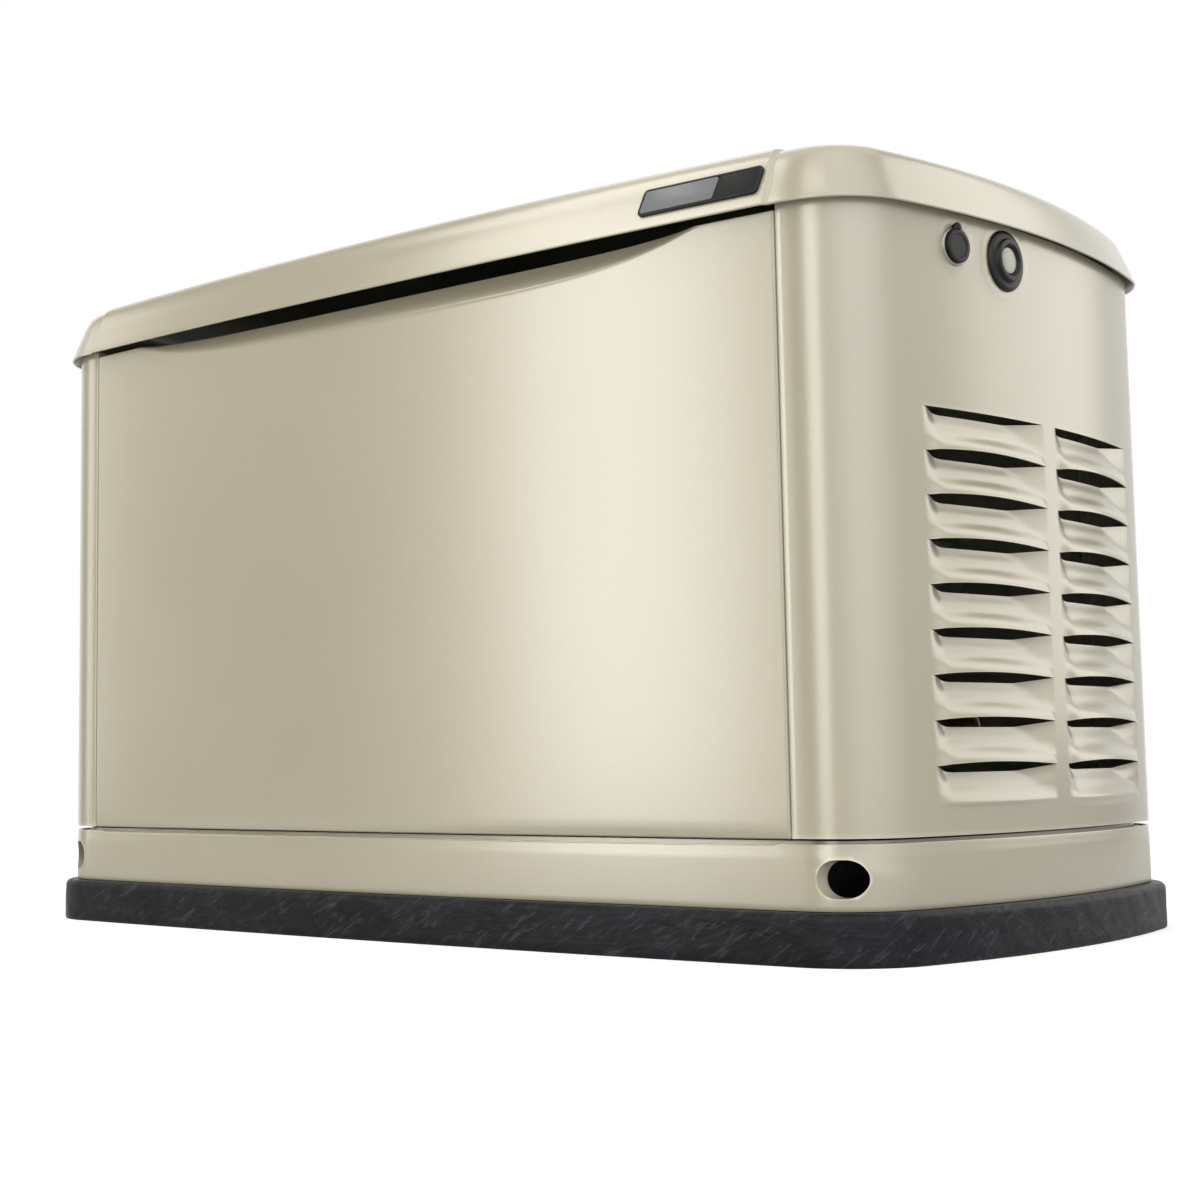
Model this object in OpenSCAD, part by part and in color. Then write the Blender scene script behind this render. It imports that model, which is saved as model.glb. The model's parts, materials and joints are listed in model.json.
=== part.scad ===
// Home standby generator in a powder-coated enclosure on a composite pad.
// X runs to the right seen from the front, -Y is the front, Z is up, and the
// origin is the centre of the pad's underside. All sizes are in millimetres.

/* [Enclosure] */
// Length of the composite pad along X
pad_l = 1226; // [1200:1:1250]
// Width of the composite pad along Y
pad_w = 638; // [625:1:650]
// Height of the composite pad
pad_h = 46; // [40:1:50]
// How far the pad stands proud of the panels all round
pad_lip = 15; // [13:1:18]
// Height of the top edge of the steel base
base_top = 103; // [98:1:106]
// Height at which the panels start
panel_z0 = 107; // [106:0.5:110]
// Height of the top edge of the end and rear panels
panel_z1 = 672; // [670:0.5:674]
// Corner radius of the panels in plan
shell_r = 78; // [70:1:85]
// How far the long sides bow outward in plan
side_bow = 13; // [8:1:16]
// How far the ends bow outward in plan
end_bow = 24; // [16:1:28]
// Distance of each front and rear seam from the middle
seam_x = 490; // [484:1:494]
// Thickness of the enclosure sheet
sheet = 2; // [1.5:0.5:2.5]

/* [Lid] */
// Height of the lower edge of the lid's skirt
lid_z0 = 668.5; // [668:0.5:670]
// Height of the lid's crown
lid_z1 = 732; // [728:1:736]
// How far the skirt flares out beyond the panels
lid_flare = 11; // [9:1:12]
// Thickness of the lid
lid_t = 3; // [2.5:0.5:3.5]
// Height of the lid's hinge axis
hinge_z = 655; // [652:1:657]
// Distance of the lid's hinge axis behind the middle
hinge_y = 311; // [310:0.5:312]

/* [Louvres] */
// Rows of louvres in each column
louvre_rows = 9; // [6:1:9]
// Height of the top slot
louvre_z = 489; // [480:1:495]
// Distance from one row to the next
louvre_pitch = 40; // [38:1:41]
// Height of each slot
slot_h = 11; // [8:1:13]
// Half width of the strip between the two columns
louvre_y0 = 8; // [6:1:12]
// Distance of the columns' far ends from the middle
louvre_y1 = 200; // [190:1:202]

/* [Openings in the base and rear] */
// Distance of the lifting holes from the middle, along X
lift_x = 532; // [528:1:535]
// Height of the lifting holes
lift_z = 74; // [72:1:76]
// Radius of the lifting holes
lift_r = 16.5; // [15:0.5:17]
// Straight length of each lifting hole, which makes it an oval
lift_flat = 7; // [4:1:8]
// Radius of the anchor holes
anchor_r = 6; // [5:0.5:7]
// Distance of the anchor holes from the middle, along X
anchor_x = 562; // [558:1:566]
// Distance of the anchor holes from the middle, along Y
anchor_y = 180; // [170:1:190]
// Radius of the fuel inlet's thread
fuel_r = 9.3; // [8:0.1:10]
// Radius of the conduit entry holes
conduit_r = 17.5; // [14:0.5:22]

/* [Engine and alternator] */
// Height of the crankshaft's axis
crank_z = 235; // [230:1:240]
// Distance of the crankshaft's axis behind the middle
crank_y = 20; // [15:1:25]
// Radius of the crankshaft
crank_r = 17; // [15:0.5:18]
// Radial clearance of running fits
run_gap = 0.05; // [0.02:0.01:0.08]
// Angle of each cylinder from upright
bank_angle = 45; // [42:1:46]
// Radius of the alternator's stator
stator_r = 120; // [110:1:122]

/* [Controls] */
// Height of the controller's face
control_z = 640; // [630:1:642]
// Distance of the middle of the controller from the middle, along X
control_x = 250; // [240:1:260]
// Distance of the middle of the controller from the middle, along Y
control_y = -130; // [-140:1:-120]

/* [Hidden] */
$fn = 64;
base_floor = 3;
floor_z = pad_h + base_floor;
shell_l = pad_l - 2 * pad_lip;
shell_w = pad_w - 2 * pad_lip;

// The plan outline is four corner arcs joined by four long shallow arcs.
flat_x = shell_l / 2 - shell_r;
flat_y = shell_w / 2 - shell_r;
corner_x = flat_x - end_bow;
corner_y = flat_y - side_bow;
side_arc = (pow(corner_x, 2) + pow(side_bow, 2)) / (2 * side_bow);
end_arc = (pow(corner_y, 2) + pow(end_bow, 2)) / (2 * end_bow);
side_ang = asin(corner_x / side_arc);
end_ang = asin(corner_y / end_arc);
end_cx = flat_x - end_arc;
end_rad = end_arc + shell_r;
side_cy = flat_y - side_arc;
side_rad = side_arc + shell_r;

// Radius of the lock, and where the lock and the status window sit on an end.
lock_y = -148;
lock_z = 640;
lock_r = 11;
barrel_r = 8;
cover_pivot = 17;
window_y = -70;
window_z = 638;

// Where the conduits come in through the rear.
conduit_x = [385, 440];
conduit_z = 135;

// Stations along the crankshaft.
fan_x0 = -378;
fan_x1 = -308;
case_x0 = -280;
case_x1 = -80;
stator_x0 = -50;
stator_x1 = 185;
bell_x1 = 235;
bearing_x0 = 205;
bearing_x1 = 225;
seat_r = 26;
bank_start = 95;
barrel_end = 205;
head_end = 262;
cover_end = 292;
foot_z = floor_z + 36;
foot_t = 8;
isolator_x = [-250, 150];
isolator_y = [-85, 125];

// Where the starter, dipstick, throttle and breaker are.
starter_y = 160;
starter_z = 165;
dipstick_x = -97;
dipstick_y = -200;
throttle_x = -150;
throttle_z = 440;
key_gap = 0.4;
breaker_x = 470;
breaker_y = -110;
breaker_z = 610;
regulator_x = 330;
regulator_y = 190;
fuel_z = 210;
outlet_r = 14;
outlet_x = regulator_x - 150;
outlet_z = fuel_z + 141;
control_w = 220;
control_d = 150;
control_h = 90;
shelf_z = control_z - control_h;

// ---------- outlines and placing ----------

function arc_points(cx, cy, r, a0, a1, n) =
    [for (i = [0 : n - 1]) let(a = a0 + (a1 - a0) * i / n) [cx + r * cos(a), cy + r * sin(a)]];

// Plan outline, d outside the panels, with the long sides a further e out.
function outline(d = 0, e = 0) = concat(
    arc_points(end_cx, 0, end_rad + d, -end_ang, end_ang, 16),
    arc_points(corner_x, corner_y, shell_r + d, end_ang, 90 - side_ang, 8),
    arc_points(0, side_cy, side_rad + d + e, 90 - side_ang, 90 + side_ang, 16),
    arc_points(-corner_x, corner_y, shell_r + d, 90 + side_ang, 180 - end_ang, 8),
    arc_points(-end_cx, 0, end_rad + d, 180 - end_ang, 180 + end_ang, 16),
    arc_points(-corner_x, -corner_y, shell_r + d, 180 + end_ang, 270 - side_ang, 8),
    arc_points(0, -side_cy, side_rad + d + e, 270 - side_ang, 270 + side_ang, 16),
    arc_points(corner_x, -corner_y, shell_r + d, 270 + side_ang, 360 - end_ang, 8));

function side_y(x, d = 0) = side_cy + sqrt(pow(side_rad + d, 2) - x * x);
function end_x(y, d = 0) = end_cx + sqrt(pow(end_rad + d, 2) - y * y);

module band(outer, inner) {
    difference() {
        polygon(outline(outer));
        polygon(outline(inner));
    }
}

module block(low, high) {
    translate(low) cube(high - low);
}

// A rod along X from x0 to x1.
module rod_x(x0, x1, r, y = crank_y, z = crank_z) {
    translate([x0, y, z]) rotate([0, 90, 0]) cylinder(r = r, h = x1 - x0);
}

// A rod along Y from y0 to y1.
module rod_y(y0, y1, r, x, z) {
    translate([x, y0, z]) rotate([-90, 0, 0]) cylinder(r = r, h = y1 - y0);
}

// Puts a child on an end's outer face, with Z of the child pointing outward.
module on_end(y, z, side = 1) {
    mirror([side < 0 ? 1 : 0, 0, 0]) translate([end_cx, 0, z])
        rotate([0, 0, asin(y / end_rad)]) translate([end_rad, 0, 0]) rotate([0, 90, 0]) children();
}

// Puts a child on a cylinder bank, with Z of the child along the cylinder.
module on_bank(side) {
    translate([0, crank_y, crank_z]) rotate([-side * bank_angle, 0, 0]) children();
}

// A closed skin through a chain of rings that all have the same point count.
module skin(rings) {
    n = len(rings[0]);
    m = len(rings);
    points = [for (ring = rings) each ring];
    sides = [for (j = [0 : m - 2], i = [0 : n - 1])
        let(a = j * n + i, b = j * n + (i + 1) % n) each [[a, b, b + n], [a, b + n, a + n]]];
    first = [for (i = [0 : n - 1]) n - 1 - i];
    last = [for (i = [0 : n - 1]) (m - 1) * n + i];
    polyhedron(points, concat([first], sides, [last]));
}

// ---------- enclosure ----------

module composite_pad() {
    chamfer = 2;
    color("#2b2a30") difference() {
        union() {
            linear_extrude(pad_h - 2 * chamfer) polygon(outline(pad_lip));
            linear_extrude(pad_h - chamfer) polygon(outline(pad_lip - chamfer / 2));
            linear_extrude(pad_h) polygon(outline(pad_lip - 2 * chamfer));
        }
        anchor_holes(-1, pad_h + 1);
    }
}

module anchor_holes(z0, z1) {
    for (x = [-anchor_x, anchor_x], y = [-anchor_y, anchor_y])
        translate([x, y, z0]) cylinder(r = anchor_r, h = z1 - z0);
}

module base_frame() {
    upstand = 3;
    color("#cfc9b6") difference() {
        union() {
            translate([0, 0, pad_h]) linear_extrude(base_floor) polygon(outline(-0.5));
            translate([0, 0, pad_h]) linear_extrude(base_top - pad_h) band(0, -2.5);
            translate([0, 0, base_top - 5]) linear_extrude(5 + upstand) band(-2.4, -4.4);
        }
        for (x = [-lift_x, lift_x]) {
            for (s = [-1, 1]) rod_y(-pad_w, pad_w, lift_r, x + s * lift_flat / 2, lift_z);
            block([x - lift_flat / 2, -pad_w, lift_z - lift_r], [x + lift_flat / 2, pad_w, lift_z + lift_r]);
        }
        anchor_holes(pad_h - 1, floor_z + 1);
    }
}

// The strip of sheet beyond the seam, with a return along each seam edge.
module end_section() {
    intersection() {
        band(0, -sheet);
        translate([seam_x, -pad_w]) square([200, 2 * pad_w]);
    }
    intersection() {
        band(0, -14);
        translate([seam_x, -pad_w]) square([sheet, 2 * pad_w]);
    }
}

// Cuts one slot, in the bank on either side of the dividing strip.
module slot_cut(side, z) {
    low_y = side < 0 ? -louvre_y1 : louvre_y0;
    block([seam_x + 40, low_y, z - slot_h], [pad_l / 2, low_y + louvre_y1 - louvre_y0, z]);
}

// The blade below a slot: its top edge is pressed in and its foot bulges out.
module blade(side, z) {
    a0 = asin((side < 0 ? -louvre_y1 : louvre_y0) / end_rad);
    a1 = asin((side < 0 ? -louvre_y0 : louvre_y1) / end_rad);
    drop = louvre_pitch - slot_h;
    translate([end_cx, 0, z - slot_h]) rotate([0, 0, a0 + 0.15])
        rotate_extrude(angle = a1 - a0 - 0.3, $fn = 720) translate([end_rad, 0])
            polygon([[-1, 0], [-9, -2], [-9, 0], [-7, 2], [-1, 1.2], [5, -drop + 4], [5, -drop - 3],
                [3, -drop - 3], [3, -drop + 3], [-1.2, -drop / 2 - 2]]);
}

module end_panel(side) {
    color("#d8d2bf") mirror([side < 0 ? 1 : 0, 0, 0]) difference() {
        union() {
            difference() {
                translate([0, 0, panel_z0]) linear_extrude(panel_z1 - panel_z0) end_section();
                for (row = [0 : louvre_rows - 1], half = [-1, 1])
                    slot_cut(half, louvre_z - row * louvre_pitch);
            }
            for (row = [0 : louvre_rows - 1], half = [-1, 1]) blade(half, louvre_z - row * louvre_pitch);
        }
        on_end(lock_y, lock_z) translate([0, 0, -20]) cylinder(r = lock_r + 0.3, h = 40);
        if (side > 0) on_end(window_y, window_z) translate([0, 0, -20]) cylinder(r = 15.3, h = 40);
    }
}

module right_end_panel() {
    end_panel(1);
}

module left_end_panel() {
    end_panel(-1);
}

module rear_panel() {
    half = seam_x - 1;
    color("#d8d2bf") difference() {
        union() {
            translate([0, 0, panel_z0]) linear_extrude(panel_z1 - panel_z0 - 12) {
                intersection() {
                    band(0, -sheet);
                    translate([-half, 0]) square([2 * half, pad_w]);
                }
                for (x = [-half, half - sheet]) intersection() {
                    band(0, -14);
                    translate([x, 0]) square([sheet, pad_w]);
                }
            }
            for (x = conduit_x) rod_y(side_y(x) - 9, side_y(x) + 2, conduit_r + 4, x, conduit_z);
        }
        rod_y(shell_w / 2 - 40, pad_w, 17.3, regulator_x, fuel_z);
        for (x = conduit_x) rod_y(shell_w / 2 - 60, pad_w, conduit_r, x, conduit_z);
    }
}

module panel_screws() {
    inset = 14;
    color("#8d8a82") for (x = [-seam_x + inset, seam_x - inset], z = [150, 390, 630])
        rod_y(side_y(x) - 4, side_y(x) + 2.5, 5.5, x, z);
}

// The wall between the alternator and the battery, and the controls' shelf.
module partition_shelf() {
    x0 = 262;
    half = 245;
    color("#8f918f") difference() {
        union() {
            block([x0, -half, floor_z], [x0 + sheet, half, shelf_z]);
            block([control_x - control_w / 2, control_y - control_d / 2 - 6, shelf_z - sheet],
                [breaker_x + 42, control_y + control_d / 2 + 20, shelf_z]);
        }
        rod_x(x0 - 1, x0 + sheet + 1, 100);
        rod_x(x0 - 1, x0 + sheet + 1, outlet_r + 2, regulator_y, outlet_z);
    }
}

// A foam strip inside the top edge of the end and rear panels.
module lid_gasket() {
    color("#1c1c1d") translate([0, 0, panel_z1 - 14]) linear_extrude(16) difference() {
        intersection() {
            band(-sheet - 0.1, -9);
            union() {
                translate([-pad_l, 0]) square([2 * pad_l, pad_w]);
                for (x = [-pad_l, seam_x + 16]) translate([x, -pad_w]) square([pad_l - seam_x - 16, pad_w]);
            }
        }
        for (x = [-seam_x, seam_x]) translate([x - 4, 0]) square([8, pad_w]);
    }
}

// ---------- lid ----------

// The skirt's outer profile: offset from the panels and height.
lid_profile = [[lid_flare, lid_z0], [lid_flare - 1, lid_z0 + 3], [lid_flare - 4.5, lid_z0 + 10],
    [lid_flare - 9, lid_z0 + 21], [lid_flare - 14, lid_z0 + 33], [lid_flare - 20, lid_z0 + 43],
    [lid_flare - 29, lid_z0 + 50], [lid_flare - 43, lid_z0 + 54]];
lid_raise = 3;
lid_shoulder = lid_profile[len(lid_profile) - 1];

function at_height(points, z) = [for (p = points) [p[0], p[1], z]];

// A ring of the roof, drawn in towards the middle, on the crown's curve.
function roof_ring(s, drop) = let(rim = outline(lid_shoulder[0] - drop, lid_raise))
    [for (p = rim) [p[0] * s, p[1] * s, lid_shoulder[1] - drop
        + (lid_z1 - lid_shoulder[1]) * (1 - s * s)]];

function lid_rings(drop) = concat(
    [for (p = lid_profile) at_height(outline(p[0] - drop, lid_raise), max(p[1] - drop, lid_z0))],
    [for (s = [0.8, 0.55, 0.3, 0.1]) roof_ring(s, drop)]);

function reversed(list) = [for (i = [len(list) - 1 : -1 : 0]) list[i]];

module lid() {
    color("#d8d2bf") skin(concat(reversed(lid_rings(lid_t)), lid_rings(0)));
}

hinge_x = [-380, 380];
hinge_pin_r = 2.5;
knuckle_r = 5;
knuckle_w = 22;

// Two fixed knuckles of each hinge, with the plate that is riveted to the rear.
module hinge_leaves() {
    half = 1.5 * knuckle_w + 1;
    back_y = side_y(hinge_x[1] - half) + 0.3;
    color("#8d8a82") for (x = hinge_x) difference() {
        union() {
            for (s = [-1, 1]) {
                rod_x(x + s * (knuckle_w + 1) - knuckle_w / 2, x + s * (knuckle_w + 1) + knuckle_w / 2,
                    knuckle_r, hinge_y, hinge_z);
                block([x + s * (knuckle_w + 1) - knuckle_w / 2, back_y, hinge_z - 24],
                    [x + s * (knuckle_w + 1) + knuckle_w / 2, hinge_y + 1, hinge_z - 3]);
            }
            block([x - half, back_y, hinge_z - 60], [x + half, back_y + 4, hinge_z - 12]);
        }
        rod_x(x - 50, x + 50, hinge_pin_r, hinge_y, hinge_z);
    }
}

// The moving knuckle of each hinge, and the strap that goes up into the lid.
module hinge_straps() {
    color("#8d8a82") for (x = hinge_x) difference() {
        union() {
            rod_x(x - knuckle_w / 2, x + knuckle_w / 2, knuckle_r, hinge_y, hinge_z);
            block([x - knuckle_w / 2, hinge_y - knuckle_r, hinge_z],
                [x + knuckle_w / 2, hinge_y - knuckle_r + 3, lid_z0 + 8]);
            block([x - knuckle_w / 2, side_y(x) - 6, lid_z0 + 8],
                [x + knuckle_w / 2, hinge_y - knuckle_r + 3, lid_z0 + 11]);
        }
        rod_x(x - 50, x + 50, hinge_pin_r + run_gap, hinge_y, hinge_z);
    }
}

module hinge_pins() {
    color("#6f6d68") for (x = hinge_x)
        rod_x(x - 1.5 * knuckle_w - 3, x + 1.5 * knuckle_w + 3, hinge_pin_r, hinge_y, hinge_z);
}

// A hook at each end that the lock's cam closes over.
module lid_catches() {
    reach = 31;
    color("#8d8a82") for (side = [-1, 1]) on_end(lock_y, lock_z, side) {
        block([-42, -reach - 3, -20], [12, -reach, -17]);
        block([9, -reach - 3, -20], [12, -13, -13]);
        block([-42, -reach - 3, -20], [-39, -13, 3.5]);
    }
}

badge_x = 412;
badge_w = 132;
badge_h = 25;
badge_z = 684;
badge_lean = 23;
badge_out = 7;

// Puts a child on the lid's sloping front, with Z of the child pointing outward.
module on_skirt() {
    translate([badge_x, -side_y(badge_x, badge_out), badge_z])
        rotate([0, 0, asin(badge_x / side_rad)]) rotate([90 - badge_lean, 0, 0]) children();
}

// The badge's leaning outline between two stations along it.
module badge_shape(inset, x0, x1) {
    lean = 4;
    polygon([[x0 + inset, inset], [x1 - inset, inset],
        [x1 + lean - inset, badge_h - inset], [x0 + lean + inset, badge_h - inset]]);
}

module badge_bezel() {
    color("#19191a") on_skirt() translate([0, 0, -1.5]) linear_extrude(4.5)
        badge_shape(0, -badge_w / 2, badge_w / 2);
}

module badge_plate() {
    color("#b9bbbd") on_skirt() translate([0, 0, 3]) linear_extrude(0.8)
        badge_shape(2.5, -badge_w / 2, 0.16 * badge_w);
}

// ---------- front panel ----------

panel_gap = 1.5;
front_half = seam_x - panel_gap;
front_z1 = 665.5;
front_fold = 15;
grip_x = 35;
grip_half = 440;
grip_depth = 28;
grip_h = 36;
front_cols = 24;
front_rows = 12;

// Share of the finger grip's full depth at x, from 0 at its ends to 1.
function grip(x) = max(0, 1 - pow((x - grip_x) / grip_half, 2));
function smooth(t) = let(u = min(1, max(0, t))) u * u * (3 - 2 * u);
function front_top(x) = front_z1 - 8 * grip(x);
function front_y(x, z) = -side_y(x)
    + grip_depth * grip(x) * smooth((z - front_top(x) + grip_h) / grip_h);

// Rows crowd towards the top edge, where the finger grip is.
function row_share(j) = let(t = j / front_rows) 1 - pow(1 - t, 2.2);

// One point of the panel's tray: the rim folds back, and inner points sit one sheet in.
function front_point(i, j, inner) = let(
    rim = i == 0 || j == 0 || i == front_cols + 2 || j == front_rows + 2,
    t = min(1, max(0, (i - 1) / front_cols)),
    x = -front_half + 2 * front_half * t,
    z = panel_z0 + (front_top(x) - panel_z0) * row_share(min(front_rows, max(0, j - 1))),
    y = front_y(x, z) + (rim ? front_fold : inner),
    xi = min(front_half - inner, max(inner - front_half, x)),
    zi = min(front_top(x) - inner, max(panel_z0 + inner, z))) [xi, y, zi];

module front_panel() {
    nx = front_cols + 3;
    nz = front_rows + 3;
    points = [for (inner = [0, sheet], j = [0 : nz - 1], i = [0 : nx - 1]) front_point(i, j, inner)];
    skin_faces = [for (j = [0 : nz - 2], i = [0 : nx - 2]) let(a = j * nx + i)
        each [[a, a + nx + 1, a + 1], [a, a + nx, a + nx + 1]]];
    back_faces = [for (f = skin_faces) [f[2] + nx * nz, f[1] + nx * nz, f[0] + nx * nz]];
    rim = concat([for (i = [0 : nx - 1]) i], [for (j = [1 : nz - 1]) j * nx + nx - 1],
        [for (i = [nx - 2 : -1 : 0]) (nz - 1) * nx + i], [for (j = [nz - 2 : -1 : 1]) j * nx]);
    rim_faces = [for (k = [0 : len(rim) - 1]) let(a = rim[k], b = rim[(k + 1) % len(rim)], s = nx * nz)
        each [[a, b, b + s], [a, b + s, a + s]]];
    color("#d8d2bf") polyhedron(points, concat(skin_faces, back_faces, rim_faces));
}

// ---------- locks and status window ----------

module lock_housings() {
    color("#1f1f21") for (side = [-1, 1]) on_end(lock_y, lock_z, side) difference() {
        union() {
            translate([0, 0, -10]) cylinder(r = lock_r, h = 12);
            translate([0, 0, 0.2]) cylinder(r = 15, h = 2);
            translate([-cover_pivot, 0, 0.2]) cylinder(r = 4, h = 2);
            block([-cover_pivot, -4, 0.2], [0, 4, 2.2]);
        }
        translate([0, 0, -30]) cylinder(r = barrel_r + run_gap, h = 60);
        translate([-cover_pivot, 0, -9]) cylinder(r = 1.5 + run_gap, h = 20);
    }
}

module lock_barrel(side) {
    color("#a9a69e") on_end(lock_y, lock_z, side) difference() {
        union() {
            translate([0, 0, -18]) cylinder(r = barrel_r, h = 19);
            translate([0, 0, -18]) block([-28, -6, 0], [6, 6, 3]);
        }
        translate([-4, -0.8, -2]) cube([8, 1.6, 4]);
    }
}

module lock_barrel_right() {
    lock_barrel(1);
}

module lock_barrel_left() {
    lock_barrel(-1);
}

// The dust cover hangs from a rivet above the key slot.
module lock_cover(side) {
    color("#232326") on_end(lock_y, lock_z, side) {
        translate([0, 0, 2.6]) cylinder(r = 14.5, h = 3);
        translate([-cover_pivot, 0, 2.6]) cylinder(r = 5, h = 3);
        translate([-cover_pivot, 0, 0.4]) cylinder(r = 1.5, h = 3);
        block([-cover_pivot, -4.5, 2.6], [0, 4.5, 5.6]);
    }
}

module lock_cover_right() {
    lock_cover(1);
}

module lock_cover_left() {
    lock_cover(-1);
}

module status_bezel() {
    color("#202023") on_end(window_y, window_z) difference() {
        union() {
            translate([0, 0, 0.2]) cylinder(r = 29, h = 3.8);
            translate([0, 0, 0.2]) cylinder(r = 20, h = 7.8);
            translate([0, 0, -12]) cylinder(r = 15, h = 14);
        }
        translate([0, 0, -20]) cylinder(r = 12.5, h = 40);
    }
}

module status_lens() {
    color("#9a9c98") on_end(window_y, window_z) translate([0, 0, -8]) cylinder(r = 12.45, h = 15);
}

// ---------- fuel train ----------

module fuel_inlet() {
    end_y = shell_w / 2 + 9;
    color("#9b8f6a") difference() {
        union() {
            rod_y(end_y - 30, end_y, 17, regulator_x, fuel_z);
            rod_y(regulator_y, end_y - 28, 11, regulator_x, fuel_z);
            translate([regulator_x, regulator_y, fuel_z - 11]) cylinder(r = 11, h = 122);
        }
        rod_y(end_y - 24, end_y + 1, fuel_r, regulator_x, fuel_z);
        rod_y(regulator_y, end_y, fuel_r - 2, regulator_x, fuel_z);
        translate([regulator_x, regulator_y, fuel_z]) cylinder(r = fuel_r - 2, h = 140);
    }
}

module fuel_regulator() {
    z0 = fuel_z + 111;
    color("#7d7f83") {
        block([regulator_x - 45, regulator_y - 40, z0], [regulator_x + 45, regulator_y + 40, z0 + 60]);
        translate([regulator_x, regulator_y, z0 + 60]) cylinder(r = 52, h = 26);
        translate([regulator_x, regulator_y, z0 + 86]) cylinder(r = 22, h = 34);
        rod_x(outlet_x, regulator_x - 44, outlet_r, regulator_y, outlet_z);
    }
}

// A quarter turn of hose about a centre at the origin, from +X to +Y.
module elbow(bend_r, r) {
    rotate_extrude(angle = 90) translate([bend_r, 0]) circle(r);
}

// From the regulator's outlet over the alternator to the mixer.
module fuel_hose() {
    r = 12;
    bend_r = 25;
    z = throttle_z + 23;
    run_y = crank_y + 80;
    color("#202022") {
        rod_y(crank_y + 27.3, run_y - bend_r, r, throttle_x, z);
        translate([throttle_x + bend_r, run_y - bend_r, z]) rotate([0, 0, 90]) elbow(bend_r, r);
        rod_x(throttle_x + bend_r, -bend_r, r, run_y, z);
        translate([-bend_r, run_y + bend_r, z]) rotate([0, 0, -90]) elbow(bend_r, r);
        rod_y(run_y + bend_r, regulator_y - bend_r, r, 0, z);
        translate([0, regulator_y - bend_r, z - bend_r]) rotate([90, 0, 90]) elbow(bend_r, r);
        translate([0, regulator_y, outlet_z + bend_r]) cylinder(r = r, h = z - outlet_z - 2 * bend_r);
        translate([bend_r, regulator_y, outlet_z + bend_r])
            rotate([90, 0, 0]) rotate([0, 0, 180]) elbow(bend_r, r);
        rod_x(bend_r, outlet_x - 0.3, r, regulator_y, outlet_z);
    }
}

module throttle_body() {
    color("#8b8d90") difference() {
        union() {
            translate([throttle_x, crank_y, throttle_z - 20]) cylinder(r = 27, h = 60);
            translate([throttle_x - 28, crank_y - 30, throttle_z - 28]) cube([56, 60, 8]);
            rod_y(crank_y - 130, crank_y + 130, 17, throttle_x, throttle_z - 10);
        }
        for (s = [-1, 1]) on_bank(s) {
            translate([-260, -62.3, bank_start]) cube([160, 124.6, barrel_end - bank_start]);
            translate([-260, -60.3, bank_start]) cube([160, 120.6, 260]);
        }
        translate([throttle_x, crank_y, throttle_z - 16]) cylinder(r = 20, h = 70);
        rod_x(throttle_x - 60, throttle_x + 60, 4 + run_gap, crank_y, throttle_z + 12);
    }
}

// Butterfly, spindle and lever, closed at rest.
module throttle_plate() {
    color("#b08d4a") {
        rod_x(throttle_x - 26, throttle_x + 40, 4, crank_y, throttle_z + 12);
        translate([throttle_x, crank_y, throttle_z + 11]) cylinder(r = 19.6, h = 2);
        translate([throttle_x + 36, crank_y - 5, throttle_z + 7]) cube([4, 10, 27]);
    }
}

air_low = [-270, -90, throttle_z + 40];
air_high = [-20, 110, 600];
air_wall = 4;

module air_box() {
    color("#242527") difference() {
        block(air_low, air_high);
        block(air_low + air_wall * [1, 1, 1], air_high + [-air_wall, -air_wall, 1]);
        translate([throttle_x, crank_y, air_low[2] - 1]) cylinder(r = 20, h = 10);
    }
}

// A shallow lid that laps over the box's rim, with its two knobs.
module air_box_cover() {
    lap = 10;
    rise = 22;
    side = air_wall + 0.3;
    color("#1d1e20") {
        difference() {
            block([air_low[0] - side, air_low[1] - side, air_high[2] - lap],
                air_high + [side, side, rise]);
            block([air_low[0] - 0.3, air_low[1] - 0.3, air_high[2] - lap - 1], air_high + [0.3, 0.3, 0.2]);
            block([air_low[0] + air_wall, air_low[1] + air_wall, air_high[2]],
                air_high + [-air_wall, -air_wall, rise - 3]);
        }
        for (x = [-220, -70]) translate([x, 10, air_high[2] + rise]) cylinder(r = 17, h = 12);
    }
}

// ---------- engine ----------

// The plate that stands on a pair of isolators.
module foot(x0, x1) {
    block([x0, isolator_y[0] - 30, foot_z], [x1, isolator_y[1] + 30, foot_z + foot_t]);
}

module crankcase() {
    cavity_x0 = -215;
    cavity_x1 = -135;
    color("#77797c") difference() {
        union() {
            block([case_x0, crank_y - 90, 110], [case_x1, crank_y + 90, crank_z + 40]);
            for (s = [-1, 1]) intersection() {
                on_bank(s) translate([-180 - 62, -62, 0]) cube([124, 124, bank_start]);
                block([case_x0, -300, crank_z], [case_x1, 300, 500]);
            }
            rod_x(case_x0 - 14, case_x1 + 26, 42);
            foot(case_x0 - 10, case_x1 + 10);
            block([case_x0 + 30, crank_y - 80, foot_z], [case_x1 - 30, crank_y + 80, 112]);
        }
        rod_x(case_x0 - 20, case_x1 + 30, crank_r + run_gap);
        rod_x(cavity_x0, cavity_x1, 64);
        translate([dipstick_x, 0, 0]) rod_y(-200, -68, 6.5, 0, 150);
    }
}

// A finned barrel with its head.
module cylinder_bank(side) {
    fins = 9;
    color("#8e9093") on_bank(side) translate([-180, 0, 0]) difference() {
        union() {
            translate([0, 0, bank_start + 0.2]) cylinder(r = 50, h = head_end - bank_start - 1);
            for (k = [0 : fins - 1]) translate([-62, -62, bank_start + 10 + k * 12]) cube([124, 124, 4]);
            translate([-60, -60, barrel_end]) cube([120, 120, head_end - barrel_end]);
        }
        translate([0, 0, bank_start - 1]) cylinder(r = 38, h = barrel_end - bank_start);
        rotate([0, -90, 0]) translate([barrel_end + 25, 0, 30]) cylinder(r = 14, h = 40);
    }
}

module cylinder_front() {
    cylinder_bank(-1);
}

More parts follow.
